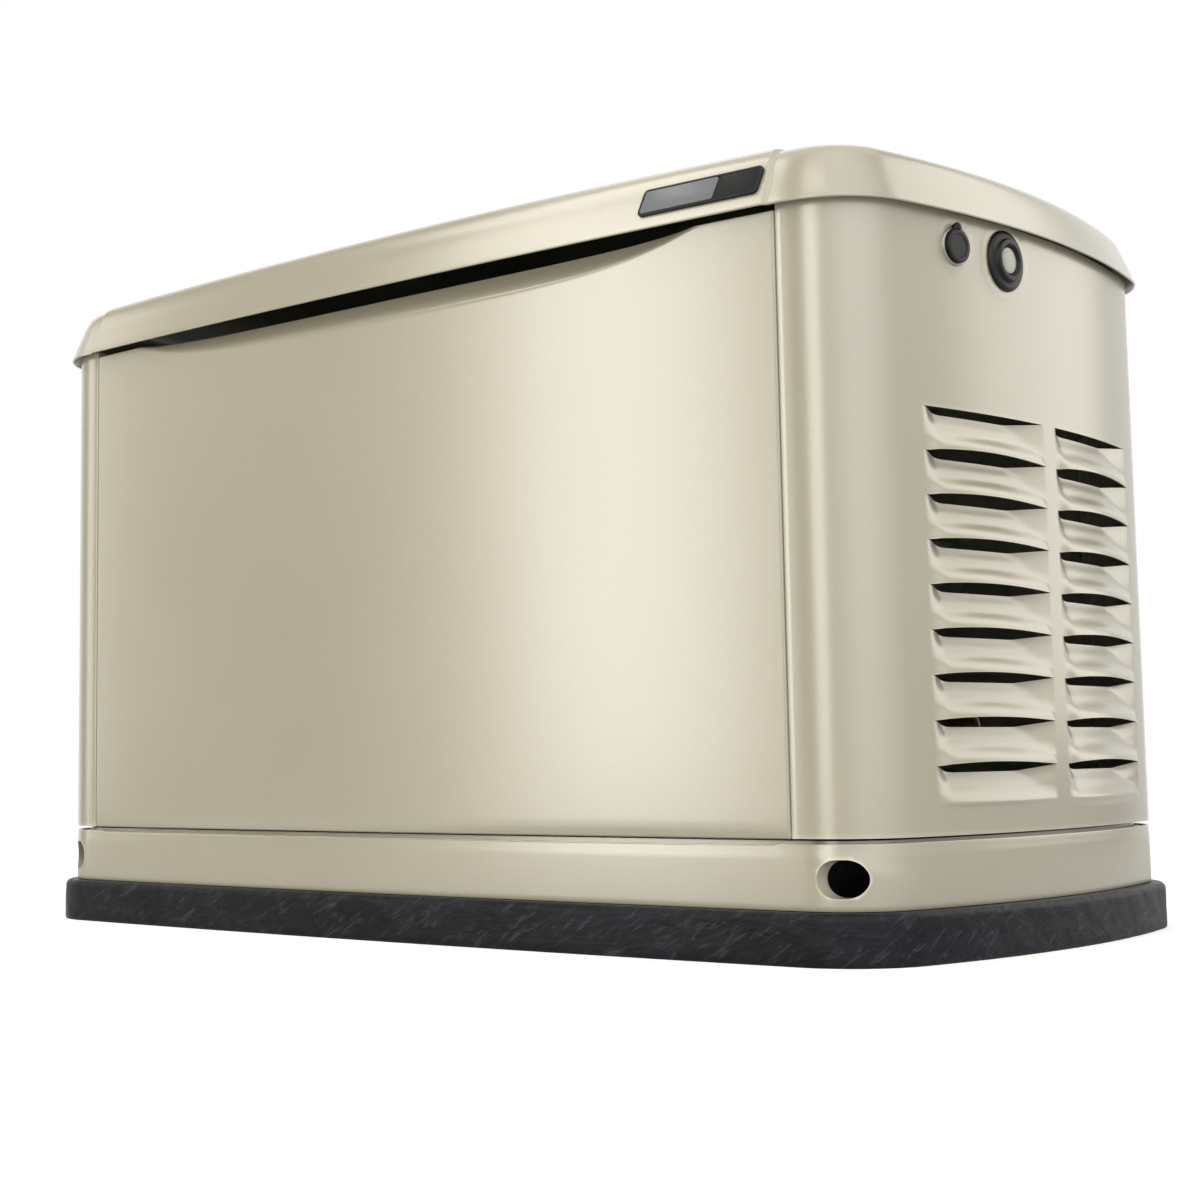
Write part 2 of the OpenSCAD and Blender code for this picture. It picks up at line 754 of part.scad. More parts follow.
module cylinder_rear() {
    cylinder_bank(1);
}

module valve_covers() {
    color("#3a3b3e") for (s = [-1, 1]) on_bank(s) {
        translate([-180 - 50, -50, head_end]) cube([100, 100, cover_end - head_end - 6]);
        translate([-180 - 42, -42, head_end]) cube([84, 84, cover_end - head_end]);
    }
}

module spark_plugs() {
    color("#e8e6e0") for (s = [-1, 1]) on_bank(s)
        translate([-119.8, 0, barrel_end + 30]) rotate([0, 90, 0]) {
            cylinder(r = 10, h = 9, $fn = 6);
            translate([0, 0, 9]) cylinder(r = 6, h = 34);
        }
}

module blower_housing() {
    r = 142;
    color("#2a2b2d") difference() {
        rod_x(fan_x0 - 14, fan_x1 + 12, r);
        rod_x(fan_x0 - 10, fan_x1 + 40, r - 4);
        rod_x(fan_x0 - 20, fan_x1, 92);
    }
}

// The flywheel, its ring gear and the fan blades on its outer face.
module flywheel_fan() {
    blades = 18;
    color("#55575a") difference() {
        union() {
            rod_x(fan_x1 - 16, fan_x1, 125);
            rod_x(fan_x1 - 40, fan_x1 + 4, 36);
            for (k = [0 : blades - 1]) translate([0, crank_y, crank_z]) rotate([k * 360 / blades, 0, 0])
                block([fan_x0 + 4, -2, 70], [fan_x1 - 14, 2, 124]);
        }
        rod_x(fan_x0 - 1, fan_x1 + 10, crank_r - 3);
    }
}

// Journals, the two webs and the crank pin, and the tapered ends.
module crankshaft() {
    color("#9b9da0") {
        rod_x(fan_x1 - 40, fan_x1 + 5, crank_r - 3.2);
        rod_x(fan_x1 + 4.2, -205, crank_r);
        rod_x(-145, bell_x1 - 6, crank_r);
        rod_x(-207, -190, 48, crank_y, crank_z + 8);
        rod_x(-160, -143, 48, crank_y, crank_z + 8);
        rod_x(-195, -155, 18, crank_y, crank_z + 32);
    }
}

module alternator_rotor() {
    color("#a35e34") difference() {
        union() {
            rod_x(stator_x0 + 26, stator_x1 - 26, 76);
            rod_x(stator_x0 + 16, stator_x0 + 30, 62);
            rod_x(stator_x1 - 30, stator_x1 - 6, 52);
        }
        rod_x(stator_x0, stator_x1, crank_r + 0.02);
        for (s = [-1, 1]) block([stator_x0, crank_y + s * 76 - 22, crank_z - 12],
            [stator_x1, crank_y + s * 76 + 22, crank_z + 12]);
    }
}

module alternator_stator() {
    color("#4b4d50") difference() {
        union() {
            rod_x(stator_x0, stator_x1, stator_r);
            foot(stator_x0 + 150, stator_x1 + 10);
            block([stator_x0 + 160, crank_y - 60, foot_z], [stator_x1, crank_y + 60, crank_z - 90]);
        }
        rod_x(stator_x0 + 12, stator_x1 + 1, 79);
        rod_x(stator_x0 - 1, stator_x0 + 13, crank_r + 4);
    }
}

// The end bell holds the outer bearing, and has slots for cooling air.
module alternator_end_bell() {
    slots = 10;
    color("#6a6c6f") difference() {
        rod_x(stator_x1 + 0.2, bell_x1, stator_r);
        rod_x(stator_x1, bearing_x0 - 4, stator_r - 6);
        rod_x(bearing_x0 - 5, bearing_x1, seat_r);
        rod_x(bearing_x1 - 1, bell_x1 + 1, crank_r + 3);
        for (k = [0 : slots - 1]) translate([0, crank_y, crank_z]) rotate([k * 360 / slots, 0, 0])
            block([bearing_x0 - 6, -11, 50], [bell_x1 + 1, 11, 100]);
    }
}

module rotor_bearing() {
    color("#c2c4c6") difference() {
        rod_x(bearing_x0, bearing_x1, seat_r);
        rod_x(bearing_x0 - 1, bearing_x1 + 1, crank_r + run_gap);
        for (x = [bearing_x0 - 1, bearing_x1 - 2]) difference() {
            rod_x(x, x + 3, 23.5);
            rod_x(x - 1, x + 4, 20.5);
        }
    }
}

module oil_filter() {
    color("#d9d9d6") {
        rod_y(crank_y - 176, crank_y - 108, 38, -225, 165);
        rod_y(crank_y - 108, crank_y - 90, 26, -225, 165);
    }
}

module dipstick_tube() {
    color("#8b8d90") difference() {
        union() {
            translate([dipstick_x, dipstick_y, 100]) cylinder(r = 9, h = 230);
            rod_y(dipstick_y, crank_y - 90, 9, dipstick_x, 150);
        }
        translate([dipstick_x, dipstick_y, 104]) cylinder(r = 6.5, h = 240);
    }
}

module dipstick() {
    color("#c9a21f") {
        translate([dipstick_x, dipstick_y, 330.3]) cylinder(r = 11, h = 14);
        translate([dipstick_x, dipstick_y, 344]) cylinder(r = 17, h = 7);
        translate([dipstick_x, dipstick_y, 312]) cylinder(r = 6.2, h = 20);
        translate([dipstick_x, dipstick_y, 112]) cylinder(r = 2, h = 210);
    }
}

module starter_motor() {
    color("#33353a") difference() {
        union() {
            rod_x(-240, -90, 36, starter_y, starter_z);
            rod_x(-258, -240, 24, starter_y, starter_z);
            rod_x(-205, -120, 20, starter_y + 52, starter_z + 20);
        }
        rod_x(-270, -200, 7 + run_gap, starter_y, starter_z);
    }
}

module starter_pinion() {
    teeth = 10;
    color("#9b9da0") {
        rod_x(-288, -202, 7, starter_y, starter_z);
        rod_x(-286, -262, 13, starter_y, starter_z);
        for (k = [0 : teeth - 1]) translate([0, starter_y, starter_z]) rotate([k * 360 / teeth, 0, 0])
            block([-286, -2.2, 12], [-262, 2.2, 17]);
    }
}

module isolators() {
    color("#1b1b1c") for (x = isolator_x, y = isolator_y)
        translate([x, y, floor_z]) {
            cylinder(r = 24, h = 6);
            cylinder(r = 18, h = foot_z - floor_z);
            translate([0, 0, foot_z - floor_z - 6]) cylinder(r = 24, h = 6);
        }
}

// ---------- exhaust ----------

exhaust_x1 = -400;
exhaust_x0 = -512;
exhaust_y = 225;
exhaust_z1 = 610;
muffler_x = -456;
muffler_r = 46;
muffler_t = 3;

function port_y(side) = crank_y + side * (barrel_end + 25) * sin(bank_angle);
port_z = crank_z + (barrel_end + 25) * cos(bank_angle);

module exhaust_box() {
    color("#8f918f") difference() {
        block([exhaust_x0, -exhaust_y, floor_z], [exhaust_x1, exhaust_y, exhaust_z1]);
        block([exhaust_x0 - 1, sheet - exhaust_y, floor_z - 1],
            [exhaust_x1 - sheet, exhaust_y - sheet, exhaust_z1 - sheet]);
        for (s = [-1, 1]) rod_x(exhaust_x1 - 10, exhaust_x1 + 10, 17, port_y(s), port_z);
        rod_x(exhaust_x1 - 10, exhaust_x1 + 10, 88);
    }
}

module muffler() {
    color("#7c7a76") difference() {
        union() {
            rod_y(-190, 200, muffler_r, muffler_x, port_z);
            rod_x(exhaust_x0 + 4, muffler_x - 30, 19, 60, port_z);
        }
        rod_y(muffler_t - 190, 200 - muffler_t, muffler_r - muffler_t, muffler_x, port_z);
        rod_x(exhaust_x0, muffler_x, 16, 60, port_z);
        for (s = [-1, 1]) rod_x(muffler_x, muffler_x + 60, 14.2, port_y(s), port_z);
    }
}

module exhaust_pipes() {
    color("#8a7f72") for (s = [-1, 1]) difference() {
        rod_x(muffler_x + muffler_r - 10, -240.2, 14, port_y(s), port_z);
        rod_x(muffler_x + muffler_r - 11, -240, 11.5, port_y(s), port_z);
    }
}

// ---------- controls ----------

// Where each mode key sits, counted from the left.
function key_x(k) = control_x - 62 + 62 * k;
key_y = control_y - 42;

module controller_box() {
    color("#26272a") difference() {
        block([control_x - control_w / 2, control_y - control_d / 2, control_z - control_h],
            [control_x + control_w / 2, control_y + control_d / 2, control_z]);
        block([control_x - 70, control_y, control_z - 6], [control_x + 70, control_y + 55, control_z + 1]);
        for (k = [0 : 2]) translate([key_x(k), key_y, control_z - 8]) cylinder(r = 14 + key_gap, h = 10);
    }
}

module display() {
    color("#5b6b5e") block([control_x - 69.8, control_y + 0.2, control_z - 6],
        [control_x + 69.8, control_y + 54.8, control_z - 1]);
}

module mode_button(k, paint) {
    color(paint) translate([key_x(k), key_y, control_z - 5]) {
        cylinder(r = 14, h = 8);
        cylinder(r = 11, h = 9);
    }
}

module button_auto() {
    mode_button(0, "#3d7f46");
}

module button_manual() {
    mode_button(1, "#33589a");
}

module button_off() {
    mode_button(2, "#b03a30");
}

module main_breaker() {
    color("#1c1d1f") difference() {
        block([breaker_x - 38, breaker_y - 70, shelf_z], [breaker_x + 38, breaker_y + 70, breaker_z]);
        translate([breaker_x - 10, breaker_y - 26, breaker_z - 22]) cube([20, 52, 23]);
        rod_x(breaker_x - 14, breaker_x + 14, 3 + run_gap, breaker_y, breaker_z - 12);
    }
}

// The handle tilts about its pin, and leans to the on side at rest.
module breaker_handle() {
    color("#e7e5df") {
        rod_x(breaker_x - 13.8, breaker_x + 13.8, 3, breaker_y, breaker_z - 12);
        rod_x(breaker_x - 9.5, breaker_x + 9.5, 8, breaker_y, breaker_z - 12);
        translate([0, breaker_y, breaker_z - 12]) rotate([25, 0, 0])
            block([breaker_x - 8, -4, 0], [breaker_x + 8, 4, 34]);
    }
}

// ---------- battery ----------

battery_x0 = 285;
battery_y0 = -260;
battery_l = 208;
battery_w = 168;
battery_h = 178;
tray_t = 3;

module battery() {
    z0 = floor_z + tray_t;
    color("#232428") {
        translate([battery_x0, battery_y0, z0]) cube([battery_l, battery_w, battery_h]);
        for (x = [30, battery_l - 30]) translate([battery_x0 + x, battery_y0 + 35, z0 + battery_h])
            cylinder(r = 9, h = 17);
    }
}

module battery_tray() {
    lip = 20;
    room = 0.3;
    wall = tray_t + room;
    color("#1f2022") translate([battery_x0 - wall, battery_y0 - wall, floor_z]) difference() {
        cube([battery_l + 2 * wall, battery_w + 2 * wall, lip]);
        translate([tray_t, tray_t, tray_t]) cube([battery_l + 2 * room, battery_w + 2 * room, lip]);
    }
}

// ---------- drawing ----------

composite_pad();
base_frame();
right_end_panel();
left_end_panel();
rear_panel();
panel_screws();
partition_shelf();
lid_gasket();
hinge_leaves();
lock_housings();
status_bezel();
status_lens();
fuel_inlet();
lid();
hinge_straps();
hinge_pins();
lid_catches();
badge_bezel();
badge_plate();
front_panel();
lock_barrel_right();
lock_barrel_left();
lock_cover_right();
lock_cover_left();
exhaust_box();
muffler();
exhaust_pipes();
crankcase();
cylinder_front();
cylinder_rear();
valve_covers();
spark_plugs();
blower_housing();
flywheel_fan();
crankshaft();
alternator_rotor();
alternator_stator();
alternator_end_bell();
rotor_bearing();
oil_filter();
dipstick_tube();
dipstick();
air_box();
air_box_cover();
throttle_body();
throttle_plate();
fuel_regulator();
fuel_hose();
starter_motor();
starter_pinion();
controller_box();
display();
button_auto();
button_manual();
button_off();
main_breaker();
breaker_handle();
battery();
battery_tray();
isolators();
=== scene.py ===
import json
import math
from contextlib import contextmanager

import bmesh
import bpy
import numpy as np
from mathutils import Matrix, Vector


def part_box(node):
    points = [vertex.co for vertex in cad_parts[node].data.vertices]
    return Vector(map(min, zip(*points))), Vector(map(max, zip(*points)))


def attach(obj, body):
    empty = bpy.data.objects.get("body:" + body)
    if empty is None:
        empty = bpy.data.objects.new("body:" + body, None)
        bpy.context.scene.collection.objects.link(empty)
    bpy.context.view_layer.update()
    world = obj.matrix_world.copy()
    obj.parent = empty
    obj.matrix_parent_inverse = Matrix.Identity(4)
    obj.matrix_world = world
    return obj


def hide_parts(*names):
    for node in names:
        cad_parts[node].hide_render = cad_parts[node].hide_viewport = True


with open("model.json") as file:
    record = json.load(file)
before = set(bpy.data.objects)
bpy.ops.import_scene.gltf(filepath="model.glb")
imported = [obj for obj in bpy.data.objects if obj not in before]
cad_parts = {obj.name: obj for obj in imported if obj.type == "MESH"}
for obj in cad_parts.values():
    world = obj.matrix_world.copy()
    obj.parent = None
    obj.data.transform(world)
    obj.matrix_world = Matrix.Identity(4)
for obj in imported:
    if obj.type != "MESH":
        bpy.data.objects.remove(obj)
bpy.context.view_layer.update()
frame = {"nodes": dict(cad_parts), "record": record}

MM = 0.001
ENCLOSURE = "enclosure"
SLOTS = {p["node"]: p["material_slot"] for p in frame["record"]["subparts"]}
BODIES = {n: b for b, nodes in frame["record"]["behaviour"]["bodies"].items() for n in nodes}
MOUNTS = frame["record"]["mounts"]

# ---------- driving dimensions, from the frame ----------

base_low, base_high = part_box("base_frame")
pad_low, pad_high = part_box("composite_pad")
lid_low, lid_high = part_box("lid")
rear_low, rear_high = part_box("rear_panel")
front_low, front_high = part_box("front_panel")
end_low, end_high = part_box("right_end_panel")

SHELL_X, SHELL_Y = base_high.x, base_high.y      # half length and half width over the panels
PAD_LIP = pad_high.x - SHELL_X
SHELL_R = 78 * MM
SIDE_BOW = 13 * MM
END_BOW = 24 * MM
SEAM_X = end_low.x                                # where the end sheets start
FRONT_X = front_high.x
SHEET, LID_SHEET = 1.6 * MM, 2.2 * MM
LID_Z = lid_low.z
LID_FLARE = lid_high.x - SHELL_X
VISOR = lid_high.y - SHELL_Y - LID_FLARE          # how much further the lid's middle stands out

ROWS = 9
SLOT_Z = 489 * MM                                 # the top louvre's cut line
PITCH = 40 * MM
LAST_BLADE = 0.92 * PITCH                         # the bottom louvre's height
COLUMNS = ((-200 * MM, -10 * MM), (10 * MM, 200 * MM))
LOCK = (-148 * MM, 640 * MM)                      # along Y and Z on an end
WINDOW = (-70 * MM, 638 * MM)
LOCK_HOLE_R, WINDOW_HOLE_R = 11.3 * MM, 15.3 * MM
LIFT_X, LIFT_Z = 532 * MM, 74 * MM                # the lifting holes
LIFT_R, LIFT_HALF_FLAT = 16.5 * MM, 3.5 * MM


# ---------- the plan outline ----------

class Outline:
    """Corner arcs joined by long shallow arcs. s is the length along it, 0 at the middle of the right end."""

    def __init__(self, half_x, half_y, r, side_bow, end_bow):
        flat_x, flat_y = half_x - r, half_y - r
        self.corner = (flat_x - end_bow, flat_y - side_bow)
        side = (self.corner[0] ** 2 + side_bow ** 2) / (2 * side_bow)
        end = (self.corner[1] ** 2 + end_bow ** 2) / (2 * end_bow)
        self.end_cx, self.end_r = flat_x - end, end + r
        self.side_cy, self.side_r = flat_y - side, side + r
        self.r = r
        self.end_angle = math.asin(self.corner[1] / end)
        self.side_angle = math.asin(self.corner[0] / side)
        corner_turn = math.pi / 2 - self.side_angle - self.end_angle
        self.breaks = np.cumsum([self.end_angle * self.end_r, corner_turn * r, self.side_angle * self.side_r])
        self.quarter = self.breaks[-1]

    def at(self, s):
        """Plan points and outward normals at the lengths s."""
        s = np.asarray(s, float)
        q = np.abs(s)
        back = q > self.quarter
        q = np.where(back, 2 * self.quarter - q, q)
        a, b, _ = self.breaks
        turn = np.where(q < a, q / self.end_r,
                        np.where(q < b, self.end_angle + (q - a) / self.r,
                                 math.pi / 2 - self.side_angle + (q - b) / self.side_r))
        cx = np.where(q < a, self.end_cx, np.where(q < b, self.corner[0], 0.0))
        cy = np.where(q < a, 0.0, np.where(q < b, self.corner[1], self.side_cy))
        r = np.where(q < a, self.end_r, np.where(q < b, self.r, self.side_r))
        n = np.stack([np.cos(turn), np.sin(turn)], -1)
        p = np.stack([cx, cy], -1) + n * r[..., None]
        flip = np.stack([np.where(back, -1.0, 1.0), np.where(s < 0, -1.0, 1.0)], -1)
        return p * flip, n * flip

    def end(self, y):
        """The length at which the right end passes y."""
        return self.end_r * np.arcsin(np.asarray(y) / self.end_r)

    def side(self, x):
        """The length at which the rear passes x."""
        return self.quarter - self.side_r * np.arcsin(np.asarray(x) / self.side_r)

    def side_y(self, x):
        return self.side_cy + np.sqrt(self.side_r ** 2 - np.asarray(x) ** 2)


shell = Outline(SHELL_X, SHELL_Y, SHELL_R, SIDE_BOW, END_BOW)


def smooth(t):
    t = np.clip(t, 0, 1)
    return t * t * (3 - 2 * t)


def stations(low, high, step, *fine):
    """Places from low to high, step apart, with (centre, reach, step) stretches of their own spacing."""
    marks = [np.linspace(low, high, max(2, round((high - low) / step) + 1))]
    for centre, reach, close in fine:
        marks.append(np.arange(centre - reach, centre + reach + close / 2, close))
    marks = np.sort(np.concatenate(marks))
    marks = marks[(marks >= low) & (marks <= high)]
    keep = np.concatenate([[True], np.diff(marks) > 0.3 * min([f[2] for f in fine] + [step])])
    marks = marks[keep]
    marks[-1] = high
    return marks


def curve_through(points, steps):
    """A smooth curve through the points, with steps pieces between each two."""
    p = np.asarray(points, float)
    ext = np.vstack([2 * p[0] - p[1], p, 2 * p[-1] - p[-2]])
    out = []
    for i in range(len(p) - 1):
        a, b, c, d = ext[i:i + 4]
        for t in np.arange(steps) / steps:
            out.append(0.5 * (2 * b + (c - a) * t + (2 * a - 5 * b + 4 * c - d) * t ** 2
                              + (3 * b - a - 3 * c + d) * t ** 3))
    out.append(p[-1])
    return np.array(out)


# ---------- mesh making ----------

WELD = 2e-6


def millimetres(*points):
    return [(a * MM, b * MM) for a, b in points]


def add_object(name, data):
    obj = bpy.data.objects.new(name, data)
    bpy.context.scene.collection.objects.link(obj)
    return obj


def new_object(name, verts, faces):
    mesh = bpy.data.meshes.new(name)
    mesh.from_pydata([tuple(map(float, v)) for v in verts], [], faces)
    return add_object(name, mesh)


@contextmanager
def editing(mesh):
    """A bmesh of the mesh, written back afterwards."""
    edit = bmesh.new()
    edit.from_mesh(mesh)
    yield edit
    edit.to_mesh(mesh)
    edit.free()


def grid_faces(rows, cols, start):
    corners = [(start + j * cols + i, start + (j + 1) * cols + i) for j in range(rows - 1) for i in range(cols - 1)]
    return [(a, a + 1, b + 1, b) for a, b in corners]


def from_grids(name, grids, flip=False):
    """One object from sheets of points, each (rows, columns, 3), welded where they meet."""
    verts, faces = [], []
    for g in grids:
        g = np.asarray(g)
        faces += grid_faces(g.shape[0], g.shape[1], len(verts))
        verts += g.reshape(-1, 3).tolist()
    obj = new_object(name, verts, faces)
    with editing(obj.data) as edit:
        bmesh.ops.remove_doubles(edit, verts=edit.verts, dist=WELD)
        bmesh.ops.dissolve_degenerate(edit, dist=1e-7, edges=edit.edges)
        if flip:
            bmesh.ops.reverse_faces(edit, faces=edit.faces)
    return obj


def close_up(obj):
    """Fills a sheet's open loops and turns its faces outward."""
    with editing(obj.data) as edit:
        bmesh.ops.holes_fill(edit, edges=[e for e in edit.edges if e.is_boundary], sides=0)
        bmesh.ops.recalc_face_normals(edit, faces=edit.faces)


def modify(obj, *modifiers):
    """Adds each (type, settings) modifier, then makes the result the object's own mesh."""
    for kind, settings in modifiers:
        m = obj.modifiers.new(kind.lower(), kind)
        for key, value in settings.items():
            setattr(m, key, value)
    graph = bpy.context.evaluated_depsgraph_get()
    mesh = bpy.data.meshes.new_from_object(obj.evaluated_get(graph))
    obj.modifiers.clear()
    obj.data = mesh
    return obj


def thicken(t):
    return "SOLIDIFY", {"thickness": t, "offset": -1.0, "use_even_offset": False}


def bevel(width, segments=2, angle=40):
    return "BEVEL", {"width": width, "segments": segments, "limit_method": "ANGLE",
                     "angle_limit": math.radians(angle), "harden_normals": False}


def cut(obj, *cutters):
    for c in cutters:
        modify(obj, ("BOOLEAN", {"operation": "DIFFERENCE", "solver": "EXACT", "object": c}))
        bpy.data.objects.remove(c)
    return obj


def pierce(obj, holes):
    """Opens round holes in a sheet before it is thickened: each is (x, y, z, radius)."""
    with editing(obj.data) as edit:
        for x, y, z, r in holes:
            at = Vector((x, y, z))
            gone = [f for f in edit.faces if (f.calc_center_median() - at).length < r]
            bmesh.ops.delete(edit, geom=gone, context="FACES")
            for v in edit.verts:
                if v.is_boundary and (v.co - at).length < 1.8 * r:
                    v.co = at + (v.co - at).normalized() * r


def lathe(name, profile, segments=96, matrix=Matrix.Identity(4)):
    """A solid turned round Z from (radius, height) points: from axis to axis, or a ring if they start off it."""
    hollow = profile[0][0] > 0
    angles = np.arange(segments) * 2 * math.pi / segments
    pts = np.array([[(r * math.cos(a), r * math.sin(a), z) for r, z in profile] for a in angles])
    pts = np.concatenate([pts, pts[:1]])
    if hollow:
        pts = np.concatenate([pts, pts[:, :1]], 1)
    obj = from_grids(name, [pts])
    with editing(obj.data) as edit:
        bmesh.ops.recalc_face_normals(edit, faces=edit.faces)
    obj.data.transform(matrix)
    return obj


def drill(r, low, high, segments, matrix=Matrix.Identity(4)):
    return lathe("drill", [(0.0, low), (r, low), (r, high), (0.0, high)], segments, matrix)


def prism(name, outline, low, high, matrix=Matrix.Identity(4)):
    """A closed solid from a plan outline of (x, y) points."""
    n = len(outline)
    verts = [(x, y, z) for z in (low, high) for x, y in outline]
    faces = [tuple(reversed(range(n))), tuple(range(n, 2 * n))]
    faces += [(i, (i + 1) % n, n + (i + 1) % n, n + i) for i in range(n)]
    obj = new_object(name, verts, faces)
    obj.data.transform(matrix)
    return obj


def rounded(points, r, steps=6):
    """Rounds the corners of a convex outline."""
    out = []
    n = len(points)
    for i in range(n):
        p, a, b = (np.array(points[k % n], float) for k in (i, i - 1, i + 1))
        u, v = (a - p) / np.linalg.norm(a - p), (b - p) / np.linalg.norm(b - p)
        half = math.acos(float(np.clip(u @ v, -1, 1))) / 2
        reach = r / math.tan(half)
        centre = p + (u + v) / np.linalg.norm(u + v) * (r / math.sin(half))
        first, last = p + u * reach - centre, p + v * reach - centre
        a0, a1 = math.atan2(first[1], first[0]), math.atan2(last[1], last[0])
        turn = (a1 - a0 + math.pi) % (2 * math.pi) - math.pi
        for a in a0 + turn * np.arange(steps + 1) / steps:
            out.append((centre[0] + r * math.cos(a), centre[1] + r * math.sin(a)))
    return out


def join(name, objects):
    """One object from several."""
    mesh = bpy.data.meshes.new(name)
    with editing(mesh) as edit:
        for o in objects:
            edit.from_mesh(o.data)
    for o in objects:
        bpy.data.objects.remove(o)
    return add_object(name, mesh)


def place(obj, material, body, replaces=(), sharp=32):
    """Finishes a piece: material, smooth faces with creases over sharp degrees, and the body it rides on."""
    obj.data.materials.clear()
    obj.data.materials.append(material)
    limit = math.radians(sharp)
    with editing(obj.data) as edit:
        for f in edit.faces:
            f.smooth = True
        for e in edit.edges:
            e.smooth = len(e.link_faces) != 2 or e.calc_face_angle(0) < limit
    if replaces:
        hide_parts(*replaces)
    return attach(obj, body)


def on_end(y, z, side=1):
    """Places a piece on an end's face, with the piece's Z outward and its Y up. side is 1 right and -1 left."""
    p, n = shell.at(shell.end(y))
    outward = Vector((side * n[0], n[1], 0))
    up = Vector((0, 0, 1))
    across = up.cross(outward)
    return Matrix.Translation((side * p[0], p[1], z)) @ Matrix((across, up, outward)).transposed().to_4x4()


# ---------- materials ----------

def rgb(code):
    """A linear colour from a #rrggbb code."""
    values = [int(code[i:i + 2], 16) / 255 for i in (1, 3, 5)]
    return [v / 12.92 if v <= 0.04045 else ((v + 0.055) / 1.055) ** 2.4 for v in values] + [1.0]


materials = {}


class Material:
    """A node material built from small steps. Coordinates are the frame's metres."""

    def __init__(self, name, roughness=0.5, metallic=0.0, **sockets):
        self.material = materials[name] = bpy.data.materials.new(name)
        self.material.use_nodes = True
        self.nodes, self.links = self.material.node_tree.nodes, self.material.node_tree.links
        self.shader = self.nodes["Principled BSDF"]
        self.shader.inputs["Roughness"].default_value = roughness
        self.shader.inputs["Metallic"].default_value = metallic
        for key, value in sockets.items():
            self.shader.inputs[key.replace("_", " ")].default_value = value
        self.coords = self.nodes.new("ShaderNodeTexCoord").outputs["Object"]
        self.bump_from = None

    def node(self, kind, inputs=(), **settings):
        n = self.nodes.new(kind)
        for key, value in settings.items():
            setattr(n, key, value)
        for key, value in dict(inputs).items():
            if hasattr(value, "is_output"):
                self.links.new(value, n.inputs[key])
            else:
                n.inputs[key].default_value = value
        return n

    def stretched(self, scale, vector=None):
        return self.node("ShaderNodeMapping", {"Vector": vector or self.coords, "Scale": scale}).outputs["Vector"]

    def noise(self, scale, detail=4.0, roughness=0.55, distortion=0.0, vector=None):
        return self.node("ShaderNodeTexNoise", {
            "Vector": vector or self.coords, "Scale": scale, "Detail": detail, "Roughness": roughness,
            "Distortion": distortion}).outputs["Fac"]

    def cells(self, scale, output="Distance"):
        return self.node("ShaderNodeTexVoronoi", {"Vector": self.coords, "Scale": scale}).outputs[output]

    def ramp(self, value, *stops):
        """Each stop is (place, colour) with a grey number or a #code."""
        n = self.node("ShaderNodeValToRGB", {"Fac": value})
        band = n.color_ramp
        while len(band.elements) < len(stops):
            band.elements.new(0.5)
        for element, (at, colour) in zip(band.elements, stops):
            element.position = at
            element.color = rgb(colour) if isinstance(colour, str) else (colour, colour, colour, 1)
        return n.outputs["Color"]

    def mix(self, factor, a, b, blend="MIX"):
        n = self.nodes.new("ShaderNodeMix")
        n.data_type, n.blend_type = "RGBA", blend
        for socket, value in zip((n.inputs[0], n.inputs[6], n.inputs[7]), (factor, a, b)):
            if hasattr(value, "is_output"):
                self.links.new(value, socket)
            else:
                socket.default_value = rgb(value) if isinstance(value, str) else value
        return n.outputs[2]

    def clouds(self, scale, detail, low, high, most, *more):
        """0 to most in patches, as a noise goes from low to high."""
        return self.ramp(self.noise(scale, detail, *more), (low, 0.0), (high, most))

    def edges(self, low, high):
        """1 on convex edges, from the surface's pointiness."""
        point = self.nodes.new("ShaderNodeNewGeometry").outputs["Pointiness"]
        return self.ramp(point, (low, 0.0), (high, 1.0))

    def height(self, low, high):
        """0 at the height low and 1 at the height high."""
        z = self.node("ShaderNodeSeparateXYZ", {"Vector": self.coords}).outputs["Z"]
        return self.node("ShaderNodeMapRange", {"Value": z, "From Min": low, "From Max": high}).outputs["Result"]

    def colour(self, value):
        self.links.new(value, self.shader.inputs["Base Color"])
        return self

    def rough(self, value, low, high):
        """Roughness between low and high as value goes from 0 to 1."""
        out = self.node("ShaderNodeMapRange", {"Value": value, "To Min": low, "To Max": high}).outputs["Result"]
        self.links.new(out, self.shader.inputs["Roughness"])
        return self

    def bump(self, value, depth, strength=1.0):
        """Adds relief, depth in metres."""
        n = self.node("ShaderNodeBump", {"Height": value, "Distance": depth, "Strength": strength})
        if self.bump_from:
            self.links.new(self.bump_from, n.inputs["Normal"])
        self.bump_from = n.outputs["Normal"]
        self.links.new(self.bump_from, self.shader.inputs["Normal"])
        return self


def powder_coat():
    """Light khaki powder coat: fine orange peel, faint mottling, and dust low down."""
    m = Material("powder_coat", Coat_Weight=1.0, Coat_Roughness=0.24, Coat_IOR=1.78, Specular_IOR_Level=0.35)
    tone = m.ramp(m.noise(3.0, 3), (0.3, "#9a9481"), (0.7, "#9e9885"))
    speck = m.ramp(m.noise(900, 2), (0.35, 0.95), (0.65, 1.0))
    tone = m.mix(1.0, tone, speck, "MULTIPLY")
    # Paler on convex edges: partly worn paint, partly a painted highlight.
    edge_wear_and_highlight = m.mix(m.edges(0.54, 0.66), tone, "#bdb7a5")
    low_dust = m.ramp(m.height(0.05, 0.16), (0.0, 0.35), (1.0, 0.0))
    dust = m.mix(1.0, low_dust, m.clouds(40, 5, 0.4, 0.7, 1.0), "MULTIPLY")
    m.colour(m.mix(dust, edge_wear_and_highlight, "#989080"))
    m.rough(m.noise(24, 4), 0.32, 0.4)
    m.bump(m.noise(520, 2, 0.5), 0.00016, 0.5)
    m.bump(m.noise(7, 2), 0.0008, 0.25)


